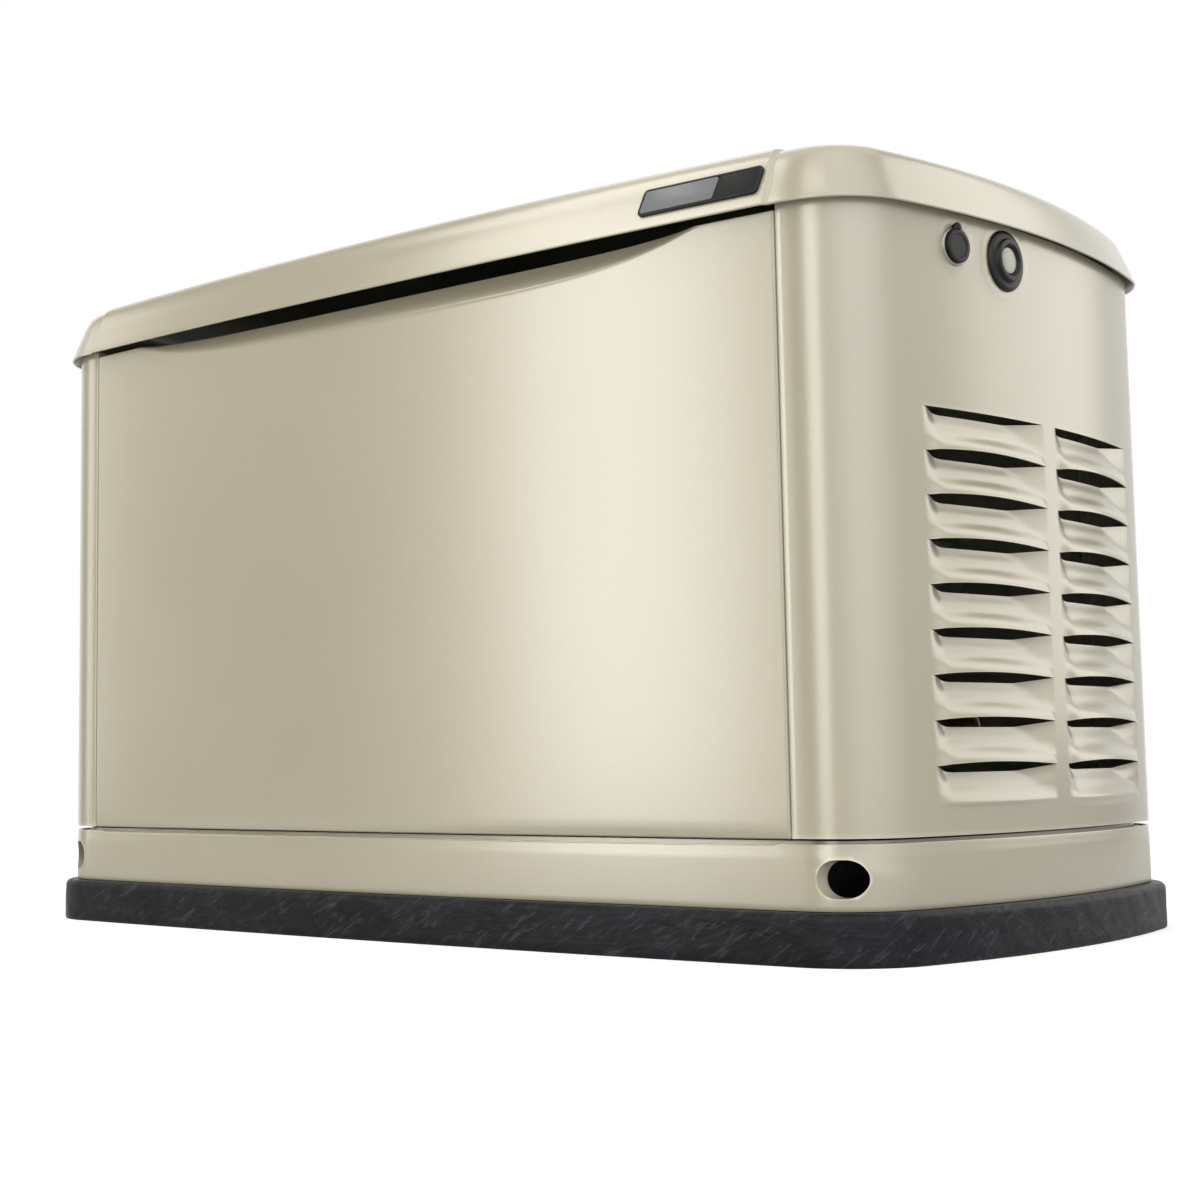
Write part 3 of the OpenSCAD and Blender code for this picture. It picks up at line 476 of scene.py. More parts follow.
def slate():
    """The pad: near-black composite, waxy, with pale slanting scuffs, a cleft face, and paler edges that are partly
    a painted highlight.
    """
    m = Material("pad_composite", Specular_IOR_Level=0.2)
    slant = {"Vector": m.coords, "Axis": (-0.7, 0.7, 0.0), "Angle": 0.65}
    turned = m.node("ShaderNodeVectorRotate", slant).outputs["Vector"]
    drift = m.stretched((1.2, 1.2, 7.0), turned)
    cleft = m.noise(15, 8, 0.62, 1.3, m.stretched((1.0, 1.0, 2.5)))
    scuffs = m.noise(26, 9, 0.7, 0.7, drift)
    fine = m.noise(260, 6, 0.6)
    tone = m.ramp(cleft, (0.3, "#020203"), (0.52, "#09080c"), (0.74, "#1d1b23"))
    tone = m.mix(m.clouds(4.5, 4, 0.42, 0.62, 0.5), tone, "#1a1821")
    tone = m.mix(m.ramp(scuffs, (0.54, 0.0), (0.72, 0.5)), tone, "#56545f")
    # Paler on convex edges, the rounded top edge most: a painted highlight as well as wear.
    m.colour(m.mix(m.edges(0.52, 0.6), tone, "#2e2c34"))
    m.rough(scuffs, 0.24, 0.56)
    m.bump(cleft, 0.0025, 0.8).bump(scuffs, 0.0006, 0.5).bump(fine, 0.0003, 0.5)


def moulded(name, colour, roughness, grain, painted_sheen="#6d6d70", edge_wear_and_highlight="#77777a"):
    """Fine-grained moulded plastic, with paler clouds that are a painted sheen, and paler edges that are partly
    wear and partly a painted highlight.
    """
    m = Material(name, Specular_IOR_Level=0.3)
    # Painted sheen: clouds of a paler colour mixed into the plastic's own.
    tone = m.mix(m.clouds(60, 4, 0.3, 0.7, 0.12), colour, painted_sheen)
    # Paler on convex edges: partly wear, partly a painted highlight.
    m.colour(m.mix(m.edges(0.56, 0.7), tone, edge_wear_and_highlight))
    m.rough(m.noise(35, 4), roughness - 0.07, roughness + 0.09)
    m.bump(m.cells(grain), 0.00012, 0.6)


def gloss(name, colour, roughness=0.3, marks="#ffffff"):
    """Smooth moulded plastic with light handling marks."""
    m = Material(name, Coat_Weight=0.3, Coat_Roughness=0.12)
    m.colour(m.mix(m.clouds(25, 4, 0.35, 0.75, 0.16), colour, marks))
    m.rough(m.noise(160, 6, 0.7), roughness - 0.06, roughness + 0.14)
    m.bump(m.noise(90, 3), 0.0001, 0.4)


def plated(name, colour, roughness=0.34, stain="#6b655a"):
    """Plated or bare sheet steel with a cloudy surface and duller patches."""
    m = Material(name, metallic=0.95)
    tone = m.mix(m.clouds(45, 6, 0.45, 0.8, 0.6, 0.65), colour, stain)
    # Brighter on convex edges: partly wear, partly a painted highlight.
    m.colour(m.mix(m.edges(0.55, 0.68), tone, "#d6d3cb"))
    m.rough(m.noise(70, 5), roughness - 0.08, roughness + 0.18)
    m.bump(m.noise(500, 3), 0.0001, 0.5)


def galvanised():
    """Spangled zinc on sheet."""
    m = Material("galvanised_sheet", metallic=0.85)
    flakes = m.cells(110, output="Color")
    shade = m.ramp(flakes, (0.1, "#989b9d"), (0.9, "#b0b3b5"))
    m.colour(m.mix(m.clouds(14, 5, 0.5, 0.8, 0.25), shade, "#7f817b"))
    m.rough(flakes, 0.34, 0.52)
    m.bump(m.cells(110), 0.0001, 0.2)


def cast(name, colour, metallic=0.9, roughness=0.5, grime="#3c3a36"):
    """Die or sand casting: grainy skin, patches of grime, and bright edges that are partly wear and partly a
    painted highlight.
    """
    m = Material(name, metallic=metallic)
    tone = m.mix(m.clouds(30, 7, 0.46, 0.78, 0.75, 0.7), colour, grime)
    # Bright on convex edges: partly wear, partly a painted highlight.
    m.colour(m.mix(m.edges(0.54, 0.66), tone, "#c9cacb"))
    m.rough(m.noise(60, 5), roughness - 0.1, roughness + 0.2)
    m.bump(m.cells(700), 0.0003, 0.5).bump(m.noise(240, 4), 0.0003, 0.5)


def brushed(name, colour, roughness=0.28):
    """Turned or ground steel, with fine lines along X."""
    m = Material(name, metallic=1.0)
    lines = m.noise(60, 5, 0.7, 0.0, m.stretched((1, 40, 40)))
    m.colour(m.mix(m.ramp(lines, (0.35, 0.0), (0.7, 0.5)), colour, "#74767a"))
    m.rough(lines, roughness - 0.08, roughness + 0.16)
    m.bump(lines, 0.00008, 0.6)


def windings():
    """Varnished copper wire, turn beside turn."""
    m = Material("copper_winding", metallic=0.65, Coat_Weight=0.5, Coat_Roughness=0.2)
    turns = m.node("ShaderNodeTexWave", {"Vector": m.coords, "Scale": 150.0, "Distortion": 1.2, "Detail": 2.0},
                   bands_direction="X").outputs["Fac"]
    m.colour(m.ramp(turns, (0.0, "#5a2c12"), (0.6, "#a8602f"), (1.0, "#c98550")))
    m.rough(turns, 0.25, 0.45)
    m.bump(turns, 0.0009, 0.8)


def tinted_steel():
    """Aluminised steel with straw and blue heat tint."""
    m = Material("aluminised_steel", metallic=1.0)
    tint = m.ramp(m.noise(5, 5, 0.6, 1.5), (0.3, "#8e8a82"), (0.5, "#9a835e"), (0.62, "#7d6a78"), (0.75, "#6f7a8c"))
    m.colour(m.mix(m.clouds(60, 7, 0.5, 0.75, 0.8), tint, "#6a5442"))
    m.rough(m.noise(50, 5), 0.36, 0.6)
    m.bump(m.noise(300, 5), 0.0002, 0.6)


def rubber(name="hose_rubber", colour="#202022", grain=600):
    m = Material(name, Specular_IOR_Level=0.35)
    m.colour(m.mix(m.clouds(28, 5, 0.4, 0.75, 0.4), colour, "#3e3d3b"))
    m.rough(m.noise(70, 4), 0.62, 0.82)
    m.bump(m.noise(grain, 4), 0.0002, 0.6)


def foil():
    """Satin silver plate, brushed lengthwise."""
    m = Material("silver_foil", metallic=0.75)
    lines = m.noise(90, 4, 0.7, 0.0, m.stretched((1.5, 8, 45)))
    m.colour(m.mix(m.ramp(lines, (0.3, 0.0), (0.75, 0.5)), "#7f8184", "#5c5e61"))
    m.rough(lines, 0.36, 0.52)
    m.bump(lines, 0.00006, 0.5)


def lens():
    """Frosted grey light guide."""
    m = Material("lens_plastic", IOR=1.49, Coat_Weight=0.3, Coat_Roughness=0.15)
    m.colour(m.ramp(m.noise(220, 3), (0.3, "#8b8d82"), (0.7, "#979990")))
    m.rough(m.noise(120, 3), 0.22, 0.36)
    m.bump(m.cells(900), 0.00015, 0.4)


def screen():
    """A blank display window behind clear plastic."""
    m = Material("display_glass", Coat_Weight=1.0, Coat_Roughness=0.05)
    m.colour(m.ramp(m.noise(18, 3), (0.3, "#55655a"), (0.7, "#66766a")))
    m.rough(m.noise(150, 5, 0.7), 0.16, 0.34)
    m.bump(m.cells(1500), 0.00005, 0.3)


slate()
powder_coat()
plated("zinc_steel", "#a9a59b")
galvanised()
rubber("foam_rubber", "#1c1c1d", 1500)
moulded("black_plastic", "#0b0b0d", 0.38, 1400, "#2a2a2d", "#2a2a2d")
lens()
plated("brass_fitting", "#b98f47", 0.3, "#7a5a2b")
foil()
tinted_steel()
cast("cast_aluminium", "#a3a5a8")
cast("black_paint", "#2e3034", 0.1, 0.42, "#4a4742")
gloss("plug_ceramic", "#e8e6e0", 0.2)
cast("cast_iron", "#5d5f62", 0.85, 0.5, "#4b3a2c")
brushed("machined_steel", "#aaacaf")
windings()
gloss("white_paint", "#dddcd8", 0.24)
gloss("yellow_plastic", "#c9a21f")
rubber()
screen()
gloss("green_plastic", "#3d7f46", marks="#8a8a8a")
gloss("blue_plastic", "#33589a", marks="#8a8a8a")
gloss("red_plastic", "#b03a30")
gloss("white_plastic", "#e7e5df")
moulded("battery_plastic", "#26272b", 0.42, 900)
moulded("badge_black", "#08080a", 0.45, 1800, "#1d1d20", "#1d1d20")
paint = materials["powder_coat"]


# ---------- pad and base ----------

def ring_stations(step, *fine):
    """Lengths all round the outline, ending where they start."""
    full = 2 * shell.quarter
    return stations(-full, full, step, *fine)


def ring(s, offset, z):
    """Points at the lengths s, offset outward and at height z. offset and z may be arrays."""
    p, n = shell.at(s)
    q = p + n * np.asarray(offset, float)[..., None]
    height = np.asarray(z, float)[..., None]
    return np.concatenate([q, np.broadcast_to(height, q.shape[:-1] + (1,))], -1)


def ripple(s, z, scale, seed):
    """A slow unevenness along the outline, about -1 to 1, the same each run. scale is its longest wave."""
    total = np.zeros(len(s))
    rng = np.random.default_rng(seed)
    half_way = 2 * shell.quarter
    for k in range(1, 9):
        turns = np.round(half_way * 2 / (scale / k))
        total += np.sin(s * turns * math.pi / half_way + z * 60 * k + rng.uniform(0, 6.28)) / k ** 0.8
    return total / 3


def pad_slab():
    """The pad, with a rounded top edge and an uneven side."""
    s = ring_stations(4 * MM)
    top, edge = pad_high.z, 7 * MM
    most = 1.1 * MM                                   # the most that the side stands out of its line
    turn = np.linspace(0, math.pi / 2, 8)
    profile = [(-1.5 * MM, 0.0), (-0.4 * MM, 1.2 * MM)]
    profile += [(0.0, z) for z in np.linspace(4 * MM, top - edge, 9)]
    profile += [(-edge * (1 - math.cos(t)), top - edge * (1 - math.sin(t))) for t in turn[1:]]
    profile += [(-14 * MM, top), (-40 * MM, top)]
    rows = []
    for d, z in profile:
        side = 1.0 if 0.002 < z < top - 0.5 * MM else 0.35
        rough = side * (0.55 * ripple(s, z, 0.16, 3) + 0.35 * ripple(s, z, 0.05, 8)) * most
        rows.append(ring(s, PAD_LIP - 1.2 * MM + d + np.minimum(rough, most), z))
    obj = from_grids("pad_slab", [np.array(rows)])
    close_up(obj)
    anchors = next(m["dims"] for m in MOUNTS if m["name"] == "anchor_bolts")
    x, y = anchors["spacing_x_mm"] / 2 * MM, anchors["spacing_y_mm"] / 2 * MM
    cut(obj, *[drill(6 * MM, -0.01, 0.06, 32, Matrix.Translation((sx * x, sy * y, 0)))
               for sx in (-1, 1) for sy in (-1, 1)])
    return place(obj, materials["pad_composite"], ENCLOSURE, ["composite_pad"], 50)


def base_tray():
    """The base's wall with a rolled top edge and a shelf under the panels, its floor, and the lifting holes."""
    s = ring_stations(6 * MM, *[(sign * float(shell.side(sx * LIFT_X)), 0.03, 0.002)
                                for sign in (-1, 1) for sx in (-1, 1)])
    floor, top = base_low.z, base_high.z - 1.8 * MM
    roll = 2.5 * MM
    turn = np.linspace(0, math.pi, 9)
    outer = [(-2.0 * MM, floor), (-0.6 * MM, floor + 0.6 * MM), (0.0, floor + 2.2 * MM)]
    outer += [(0.0, z) for z in np.linspace(floor + 6 * MM, top - 12 * MM, 16)]
    outer += [(-0.2 * MM, top - 8 * MM), (-0.6 * MM, top - 4.5 * MM)]
    outer += [(-0.6 * MM - roll * (1 - math.cos(t)) / 2, top - roll / 2 + roll / 2 * math.sin(t)) for t in turn]
    outer += [(-3.4 * MM, top - 1.8 * MM), (-15.0 * MM, top - 1.8 * MM), (-15.2 * MM, base_high.z),
              (-16.8 * MM, base_high.z), (-16.8 * MM, floor + 3 * MM), (-40 * MM, floor + 3 * MM)]
    x = shell.at(s)[0][:, 0]
    front = (np.abs(s) > shell.breaks[1]) & (s < 0)
    # Under the front panel the top edge is a little lower, and steps up at a small round notch.
    notch = 475 * MM
    lower = np.where(front, smooth((notch - np.abs(x)) / (4 * MM)), 0.0)
    # Right of each notch the wall leans in above a slanting crease, which runs out round the corner.
    start, reach = abs(float(shell.side(notch))), 0.135
    along = (start - np.abs(s)) / reach
    leaning = np.where((s < 0) & (along > 0) & (along < 1), 1.0, 0.0)
    line = top - 34 * MM * np.clip(along, 0, 1) ** 0.8
    rows = []
    for d, z in outer:
        drop = lower * 2.2 * MM * smooth((z - (top - 14 * MM)) / (10 * MM))
        lean = leaning * np.minimum(np.maximum(z - line, 0) * 0.2, 2.6 * MM) * (1 - np.clip(along, 0, 1)) ** 0.6
        on_wall = d > -3.3 * MM
        rows.append(ring(s, d - lean * on_wall, z - drop * on_wall))
    obj = from_grids("base_tray", [np.array(rows)])
    close_up(obj)
    oval = [(LIFT_R * math.cos(t) + math.copysign(LIFT_HALF_FLAT, math.cos(t)), LIFT_R * math.sin(t))
            for t in (np.arange(72) + 0.5) * math.pi / 36]
    cut(obj, *[prism("drill", oval, -0.4, 0.4,
                     Matrix.Translation((sx * LIFT_X, 0, LIFT_Z)) @ Matrix.Rotation(math.pi / 2, 4, "X"))
               for sx in (-1, 1)])
    modify(obj, bevel(0.5 * MM, 2, 50))
    return place(obj, paint, ENCLOSURE, ["base_frame"])


# ---------- end sheets ----------

def louvre_shape(u, t, last):
    """A blade's stand outward at u along it and t down it, and how far its top and foot edges are moved."""
    crease = 0.68 + 0.32 * t
    left = smooth(u / 0.13)
    facet = np.clip((1 - u) / np.maximum(1 - crease, 1e-3), 0, 1)
    inside = (u > 0) & (u < 1)
    tuck = 1 - 0.55 * smooth(t / 0.5) - 0.45 * smooth((t - 0.42) / 0.5)
    foot = smooth((t - 0.42) / 0.56)
    if last:
        foot = 0.42 * foot * (1 - smooth((t - 0.84) / 0.16))
    hump = np.where(inside, np.sin(math.pi * np.clip(u, 0, 1) ** 0.85), 0) * smooth(u / 0.1)
    stand = -8.0 * MM * tuck * left * facet + 6.4 * MM * foot * (0.35 * left * facet + 0.65 * hump)
    top_edge = 5.8 * MM * smooth(u / 0.17) * np.clip((1 - u) / 0.32, 0, 1)
    return np.where(inside, stand, 0.0), np.where(inside, top_edge, 0.0), np.where(inside, 3.4 * MM * hump, 0.0)


def end_sheet(name, side, node):
    """One end: two columns of pressed louvres, and the sheet round both corners to the seams."""
    seam = float(shell.side(SEAM_X))
    edges = [e for c in COLUMNS for e in c]
    fine = [(float(shell.end(y + 0.012)), 0.016, 0.0014) for y in (COLUMNS[0][0], COLUMNS[1][0])]
    fine += [(float(shell.end(y)), 0.012, 0.002) for y in edges]
    s = stations(-seam, seam, 5.5 * MM, *fine)
    p = shell.at(s)[0]
    y = p[:, 1]
    u = np.zeros(len(s))
    for a, b in COLUMNS:
        within = (y > a) & (y < b) & (p[:, 0] > 0) & (np.abs(s) < shell.breaks[0])
        u[within] = (y[within] - a) / (b - a)
    low, high = end_low.z + 1.4 * MM, end_high.z
    lock_s, window_s = float(shell.end(LOCK[0])), float(shell.end(WINDOW[0]))

    def dimple(z):
        """The slight pressed rings round the lock and the window."""
        ring_out = np.zeros(len(s))
        spots = [(lock_s, LOCK[1] + 0.004, 0.0205, 0.0245)]
        if side > 0:
            spots.append((window_s, WINDOW[1], 0.0335, 0.0335))
        for at, height, wide, tall in spots:
            r = np.hypot((s - at) / wide, (z - height) / tall)
            ring_out += 0.9 * MM * np.exp(-((r - 1) / 0.09) ** 2)
        return ring_out

    def strip(levels):
        return np.array([ring(s, dimple(z), z) for z in levels])

    grids = [strip(stations(SLOT_Z, high, 4.5 * MM))]
    steps = 1 - np.concatenate([np.linspace(0, 0.3, 7)[:-1], np.linspace(0.3, 1, 14)])   # bottom of a blade first
    for k in range(ROWS):
        last = k == ROWS - 1
        z_top = SLOT_Z - k * PITCH
        z_foot = z_top - (LAST_BLADE if last else PITCH)
        rows = []
        for t in steps:
            stand, top_edge, lift = louvre_shape(u, t, last)
            upper = z_top - top_edge
            lower = z_foot if last else z_foot + lift
            rows.append(ring(s, stand, lower + (upper - lower) * (1 - t)))
        grids.append(np.array(rows))
    grids.append(strip(stations(low, SLOT_Z - (ROWS - 1) * PITCH - LAST_BLADE, 6 * MM)))
    # The seam edges turn in, with a small radius.
    for sign, column in ((-1, 0), (1, -1)):
        inward = -sign * MM
        for g in grids[:ROWS + 2]:
            lip = np.stack([g[:, column] + np.array([-a * MM, b * inward, 0])
                            for a, b in ((0.0, 0.0), (0.35, 0.12), (0.75, 0.5), (1.0, 1.1), (1.0, 13.0))], 1)
            grids.append(lip[:, ::-1] if sign < 0 else lip)
    obj = from_grids(name, grids)
    holes = [(lock_s, LOCK[1], LOCK_HOLE_R)] + ([(window_s, WINDOW[1], WINDOW_HOLE_R)] if side > 0 else [])
    pierce(obj, [(*ring(at, 0.0, z), r) for at, z, r in holes])
    if side < 0:
        obj.data.transform(Matrix.Scale(-1, 4, (1, 0, 0)))
        with editing(obj.data) as edit:
            bmesh.ops.reverse_faces(edit, faces=edit.faces)
    modify(obj, thicken(SHEET))
    return place(obj, paint, ENCLOSURE, [node], 38)


# ---------- front and rear sheets ----------

def folded(edge, push, fold, inward):
    """Rows that fold away from an edge: each (out, back) in millimetres goes out along push and back along Y."""
    rows = []
    for out, back in fold:
        q = edge + np.array(push) * (out * MM)
        q[:, 1] = edge[:, 1] + inward * back * MM
        rows.append(q)
    return np.stack(rows)


def front_sheet():
    """The lift-off panel: bowed, with folded edges and a finger grip pressed into its top."""
    half, low, high = FRONT_X, front_low.z + 2.3 * MM, front_high.z
    edge_gap = 2.1 * MM
    # The grip's half length, depth, how far its rim dips, and height.
    reach, deep, sink, tall = 405 * MM, 17 * MM, 5 * MM, 27 * MM
    x = stations(-half, half, 7 * MM, (-half, 0.012, 0.0015), (half, 0.012, 0.0015))
    grip = np.clip(1 - (x / reach) ** 2, 0, 1)
    share = 1 - np.exp(-3.0 * grip)
    share /= share.max()
    top = high - sink * share
    foot_of_grip = top - tall * np.tanh(1.9 * grip) / math.tanh(1.9)
    lean = 2.1 - 0.75 * (x + half) / (2 * half)          # the grip's lower edge is softer on the left
    levels = np.concatenate([np.linspace(0, 0.86, 60)[:-1], np.linspace(0.86, 1, 44)])
    y_wall = -shell.side_y(x)
    rows = []
    for t in levels:
        z = low + (top - low) * t
        up = np.clip((z - foot_of_grip) / np.maximum(top - foot_of_grip, 1e-6), 0, 1) * (grip > 1e-4)
        inset = deep * share * np.minimum(up ** lean * (1.5 - 0.5 * up ** 2), 1)
        soft = 0.9 * MM * (1 - smooth((z - low) / (7 * MM)))
        rows.append(np.stack([x, y_wall + inset + soft, z], -1))
    face = np.array(rows)
    face[..., 0] *= (half - edge_gap) / half
    # Folded edges all round, each with a small radius.
    fold = [(0.0, 0.0), (0.35, 0.15), (1.0, 0.75), (1.5, 1.7), (1.5, 14.0)]
    grids = [face,
             folded(face[-1], (0, 0, 0), fold, 1),
             folded(face[0], (0, 0, -1), fold, 1)[::-1],
             folded(face[:, -1], (1, 0, 0), fold, 1).transpose(1, 0, 2),
             folded(face[:, 0], (-1, 0, 0), fold, 1).transpose(1, 0, 2)[:, ::-1]]
    obj = from_grids("front_sheet", grids)
    modify(obj, thicken(SHEET))
    return place(obj, paint, "front_panel", ["front_panel"], 45)


def rear_sheet():
    """The rear panel, with two pressed stiffening fields, the gas inlet's collar and the conduit holes."""
    half, low, high = rear_high.x, rear_low.z, rear_high.z
    inner_x, outer_x, field_low, field_high = 25 * MM, 430 * MM, 260 * MM, 600 * MM
    conduit_r = 17.6 * MM
    x = stations(-half, half, 7 * MM, *[(sx * v, 0.012, 0.002) for sx in (-1, 1) for v in (inner_x, outer_x)])
    z = stations(low, high, 7 * MM, *[(v, 0.012, 0.002) for v in (field_low, field_high)])
    rows = []
    for level in z:
        pressed = np.zeros(len(x))
        for a, b in ((-outer_x, -inner_x), (inner_x, outer_x)):
            inside = np.minimum(np.minimum(x - a, b - x), min(level - field_low, field_high - level))
            pressed += 3.2 * MM * smooth(inside / (9 * MM))
        rows.append(np.stack([x, shell.side_y(x) - pressed, np.full(len(x), level)], -1))
    face = np.array(rows)
    fold = [(0.0, 0.0), (-0.3, 0.9), (-1.0, 1.9), (-1.6, 2.6), (-1.6, 14.0)]
    grids = [face,
             folded(face[:, 0], (1, 0, 0), fold, -1).transpose(1, 0, 2)[:, ::-1],
             folded(face[:, -1], (-1, 0, 0), fold, -1).transpose(1, 0, 2)]
    obj = from_grids("rear_sheet", grids, flip=True)
    modify(obj, thicken(SHEET))
    drills, collars = [], []
    for mount in MOUNTS:
        if mount["kind"] not in ("bore", "threaded_hole"):
            continue
        px, py, pz = mount["pos_m"]
        r = mount["dims"]["r_mm"] * MM if mount["kind"] == "bore" else conduit_r
        through = Matrix.Translation((px, rear_high.y, pz)) @ Matrix.Rotation(math.pi / 2, 4, "X")
        drills.append(drill(r, -0.05, 0.05, 64, through))
        if mount["kind"] == "bore":
            end = mount["dims"]["length_mm"] / 2 * MM
            profile = [(r, -end), (r + 3.4 * MM, -end), (r + 3.4 * MM, end - 3 * MM), (r + 4 * MM, end - 2.6 * MM),
                       (r + 4 * MM, end - 0.8 * MM), (r + 3.2 * MM, end), (r + 0.6 * MM, end), (r, end - 0.6 * MM)]
            outward = Matrix.Translation((px, py, pz)) @ Matrix.Rotation(-math.pi / 2, 4, "X")
            collars.append(lathe("collar", profile, 72, outward))
    cut(obj, *drills)
    whole = join("rear_sheet", [obj] + collars)
    return place(whole, paint, ENCLOSURE, ["rear_panel"], 38)


# ---------- lid ----------

# The skirt's section: inset from the lip and height above it, in millimetres.
SKIRT = [(0.9, 0.0), (0.0, 1.1), (0.5, 2.6), (1.6, 5.0), (3.7, 10.0), (7.0, 18.0), (10.8, 27.0), (14.4, 36.0),
         (17.4, 43.0), (20.4, 48.0), (24.4, 52.0), (29.6, 54.8), (36.5, 56.3), (46.0, 56.9), (60.0, 57.0)]
# The roof's rows, as shares of the skirt's last.
ROOF = (0.985, 0.97, 0.955, 0.94, 0.92, 0.9, 0.86, 0.8, 0.7, 0.6, 0.5, 0.4, 0.3, 0.2, 0.1, 0.0)
MIDDLE_LIFT = 1.112                                # the roof is this much higher at its middle
STEP = 2.4 * MM                                    # and steps down a little beyond the visor


def lid_lift(x):
    return MIDDLE_LIFT * (1 - 0.22 * x ** 2)


def lid_surface(s, rows):
    """The lid's outer face: skirt rows, then a roof that rises gently to the middle."""
    x = shell.at(s)[0][:, 0]
    raised = smooth((488 * MM - np.abs(x)) / (5 * MM))
    out = []
    for inset, h in rows:
        d = LID_FLARE - inset * MM + VISOR * raised * (1 - smooth((inset - 30) / 30))
        points = ring(s, np.minimum(d, LID_FLARE + VISOR), 0.0)
        lift = lid_lift(points[:, 0])
        step = STEP * (1 - raised) * smooth((h - 24) / 24)
        points[:, 2] = LID_Z + h * MM * (1 + (lift - 1) * min(1.0, max(0.0, h - 6) / 30)) - step
        out.append(points)
    base, h0 = out[-1], rows[-1][1] * MM
    for k in ROOF:
        points = base * np.array([k, k, 0])
        points[:, 2] = LID_Z + h0 * lid_lift(points[:, 0]) - STEP * (1 - raised) * smooth((k - 0.9) / 0.1)
        out.append(points)
    return np.array(out)


def lid_shell():
    crease = [(sign * float(shell.side(sx * 486 * MM)), 0.008, 0.0008) for sign in (-1, 1) for sx in (-1, 1)]
    s = ring_stations(7 * MM, *crease)
    obj = from_grids("lid_shell", [lid_surface(s, curve_through(SKIRT, 4))])
    modify(obj, thicken(LID_SHEET))
    return place(obj, paint, "lid", ["lid"], 50)


BADGE_X, BADGE_Z, BADGE_TILT = 412 * MM, 681 * MM, 20.5      # its middle, its foot, and degrees it leans back
BADGE_LENGTH, BADGE_HEIGHT, BADGE_SLANT = 132 * MM, 29 * MM, 4 * MM


def on_skirt():
    """Places the badge on the lid's skirt."""
    y = -(float(shell.side_y(BADGE_X)) + LID_FLARE + VISOR - 4.6 * MM)
    turn = math.asin(BADGE_X / shell.side_r)
    return (Matrix.Translation((BADGE_X, y, BADGE_Z)) @ Matrix.Rotation(turn, 4, "Z")
            @ Matrix.Rotation(math.radians(90 - BADGE_TILT), 4, "X"))


def badge():
    """A blank two-tone plate in a black bezel."""
    top = BADGE_HEIGHT

    def shape(inset, a, b, r):
        return rounded([(a + inset, inset), (b - inset, inset), (b + BADGE_SLANT - inset, top - inset),
                        (a + BADGE_SLANT + inset, top - inset)], r)

    half = BADGE_LENGTH / 2
    bezel = prism("bezel", shape(0, -half, half, 5.5 * MM), -1.5 * MM, 2.6 * MM)
    modify(bezel, bevel(1.0 * MM, 4))
    well = prism("well", shape(2.6 * MM, -half, half, 3.4 * MM), 1.9 * MM, 6 * MM)
    cut(bezel, well)
    bezel.data.transform(on_skirt())
    bezel.name = "badge_frame"
    split = 0.16 * BADGE_LENGTH
    silver = prism("badge_silver", shape(2.9 * MM, -half, split, 2.6 * MM), 1.95 * MM, 2.75 * MM)
    dark = prism("badge_dark", shape(2.9 * MM, split - 4.6 * MM, half, 2.6 * MM), 1.95 * MM, 2.6 * MM)
    for plate in (silver, dark):
        modify(plate, bevel(0.3 * MM, 2))
        plate.data.transform(on_skirt())
    place(bezel, materials["black_plastic"], "lid", ["badge_bezel"])
    place(silver, materials["silver_foil"], "lid", ["badge_plate"])
    place(dark, materials["badge_black"], "lid")


# ---------- locks and window ----------

RIVET_UP = 17 * MM                                 # the cover's rivet above the lock's middle


def lock_outline(r, lug_r):
    """A round plate with a lug above it, round the rivet."""
    a = math.asin(lug_r / r)
    body = [(r * math.sin(t), r * math.cos(t)) for t in np.linspace(a, 2 * math.pi - a, 56)]
    lug = [(lug_r * math.cos(t), RIVET_UP + lug_r * math.sin(t)) for t in np.linspace(math.pi, 0, 14)]
    return body + lug


def locks():
    """Each end's zinc trim ring, black plate, and dust cover on its rivet."""
    on_rivet = Matrix.Translation((0, RIVET_UP, 0))
    bore = 8.15                                        # for the barrel, in millimetres
    for side, name in ((1, "right"), (-1, "left")):
        at = on_end(*LOCK, side)
        trim = lathe(f"lock_trim_{name}", millimetres(
            (11.2, 0.2), (18.0, 0.2), (17.9, 1.2), (17.2, 2.0), (16.2, 2.3), (15.4, 2.0), (15.2, 1.0), (11.2, 1.0)),
            96, at)
        place(trim, materials["zinc_steel"], ENCLOSURE)
        plate = prism("lock_plate", lock_outline(14.9 * MM, 4 * MM), 1.1 * MM, 2.2 * MM)
        modify(plate, bevel(0.4 * MM, 3))
        neck = lathe("neck", millimetres((bore, -10), (10.9, -10), (11, 1.2), (bore, 1.2)))
        cut(plate, drill(bore * MM, -0.02, 0.02, 64), drill(1.6 * MM, -0.02, 0.02, 24, on_rivet))
        whole = join(f"lock_plate_{name}", [plate, neck])
        whole.data.transform(at)
        place(whole, materials["black_plastic"], ENCLOSURE, ["lock_housings"] if side > 0 else [])
        cap = prism("cap", lock_outline(16.0 * MM, 4.8 * MM), 2.6 * MM, 6.6 * MM)
        modify(cap, bevel(1.5 * MM, 4))
        cut(cap, lathe("dish", millimetres((0.0, 5.9), (11.0, 5.9), (12.6, 7.6), (0.0, 7.6)), 72))
        rivet = lathe("rivet", millimetres((0.0, 0.4), (1.5, 0.4), (1.5, 6.4), (3.0, 6.5), (2.7, 7.3), (1.4, 7.8),
                                           (0.0, 7.9)), 40, on_rivet)
        cover = join(f"lock_cap_{name}", [cap, rivet])
        cover.data.transform(at)
        place(cover, materials["black_plastic"], f"lock_cover_{name}", [f"lock_cover_{name}"])


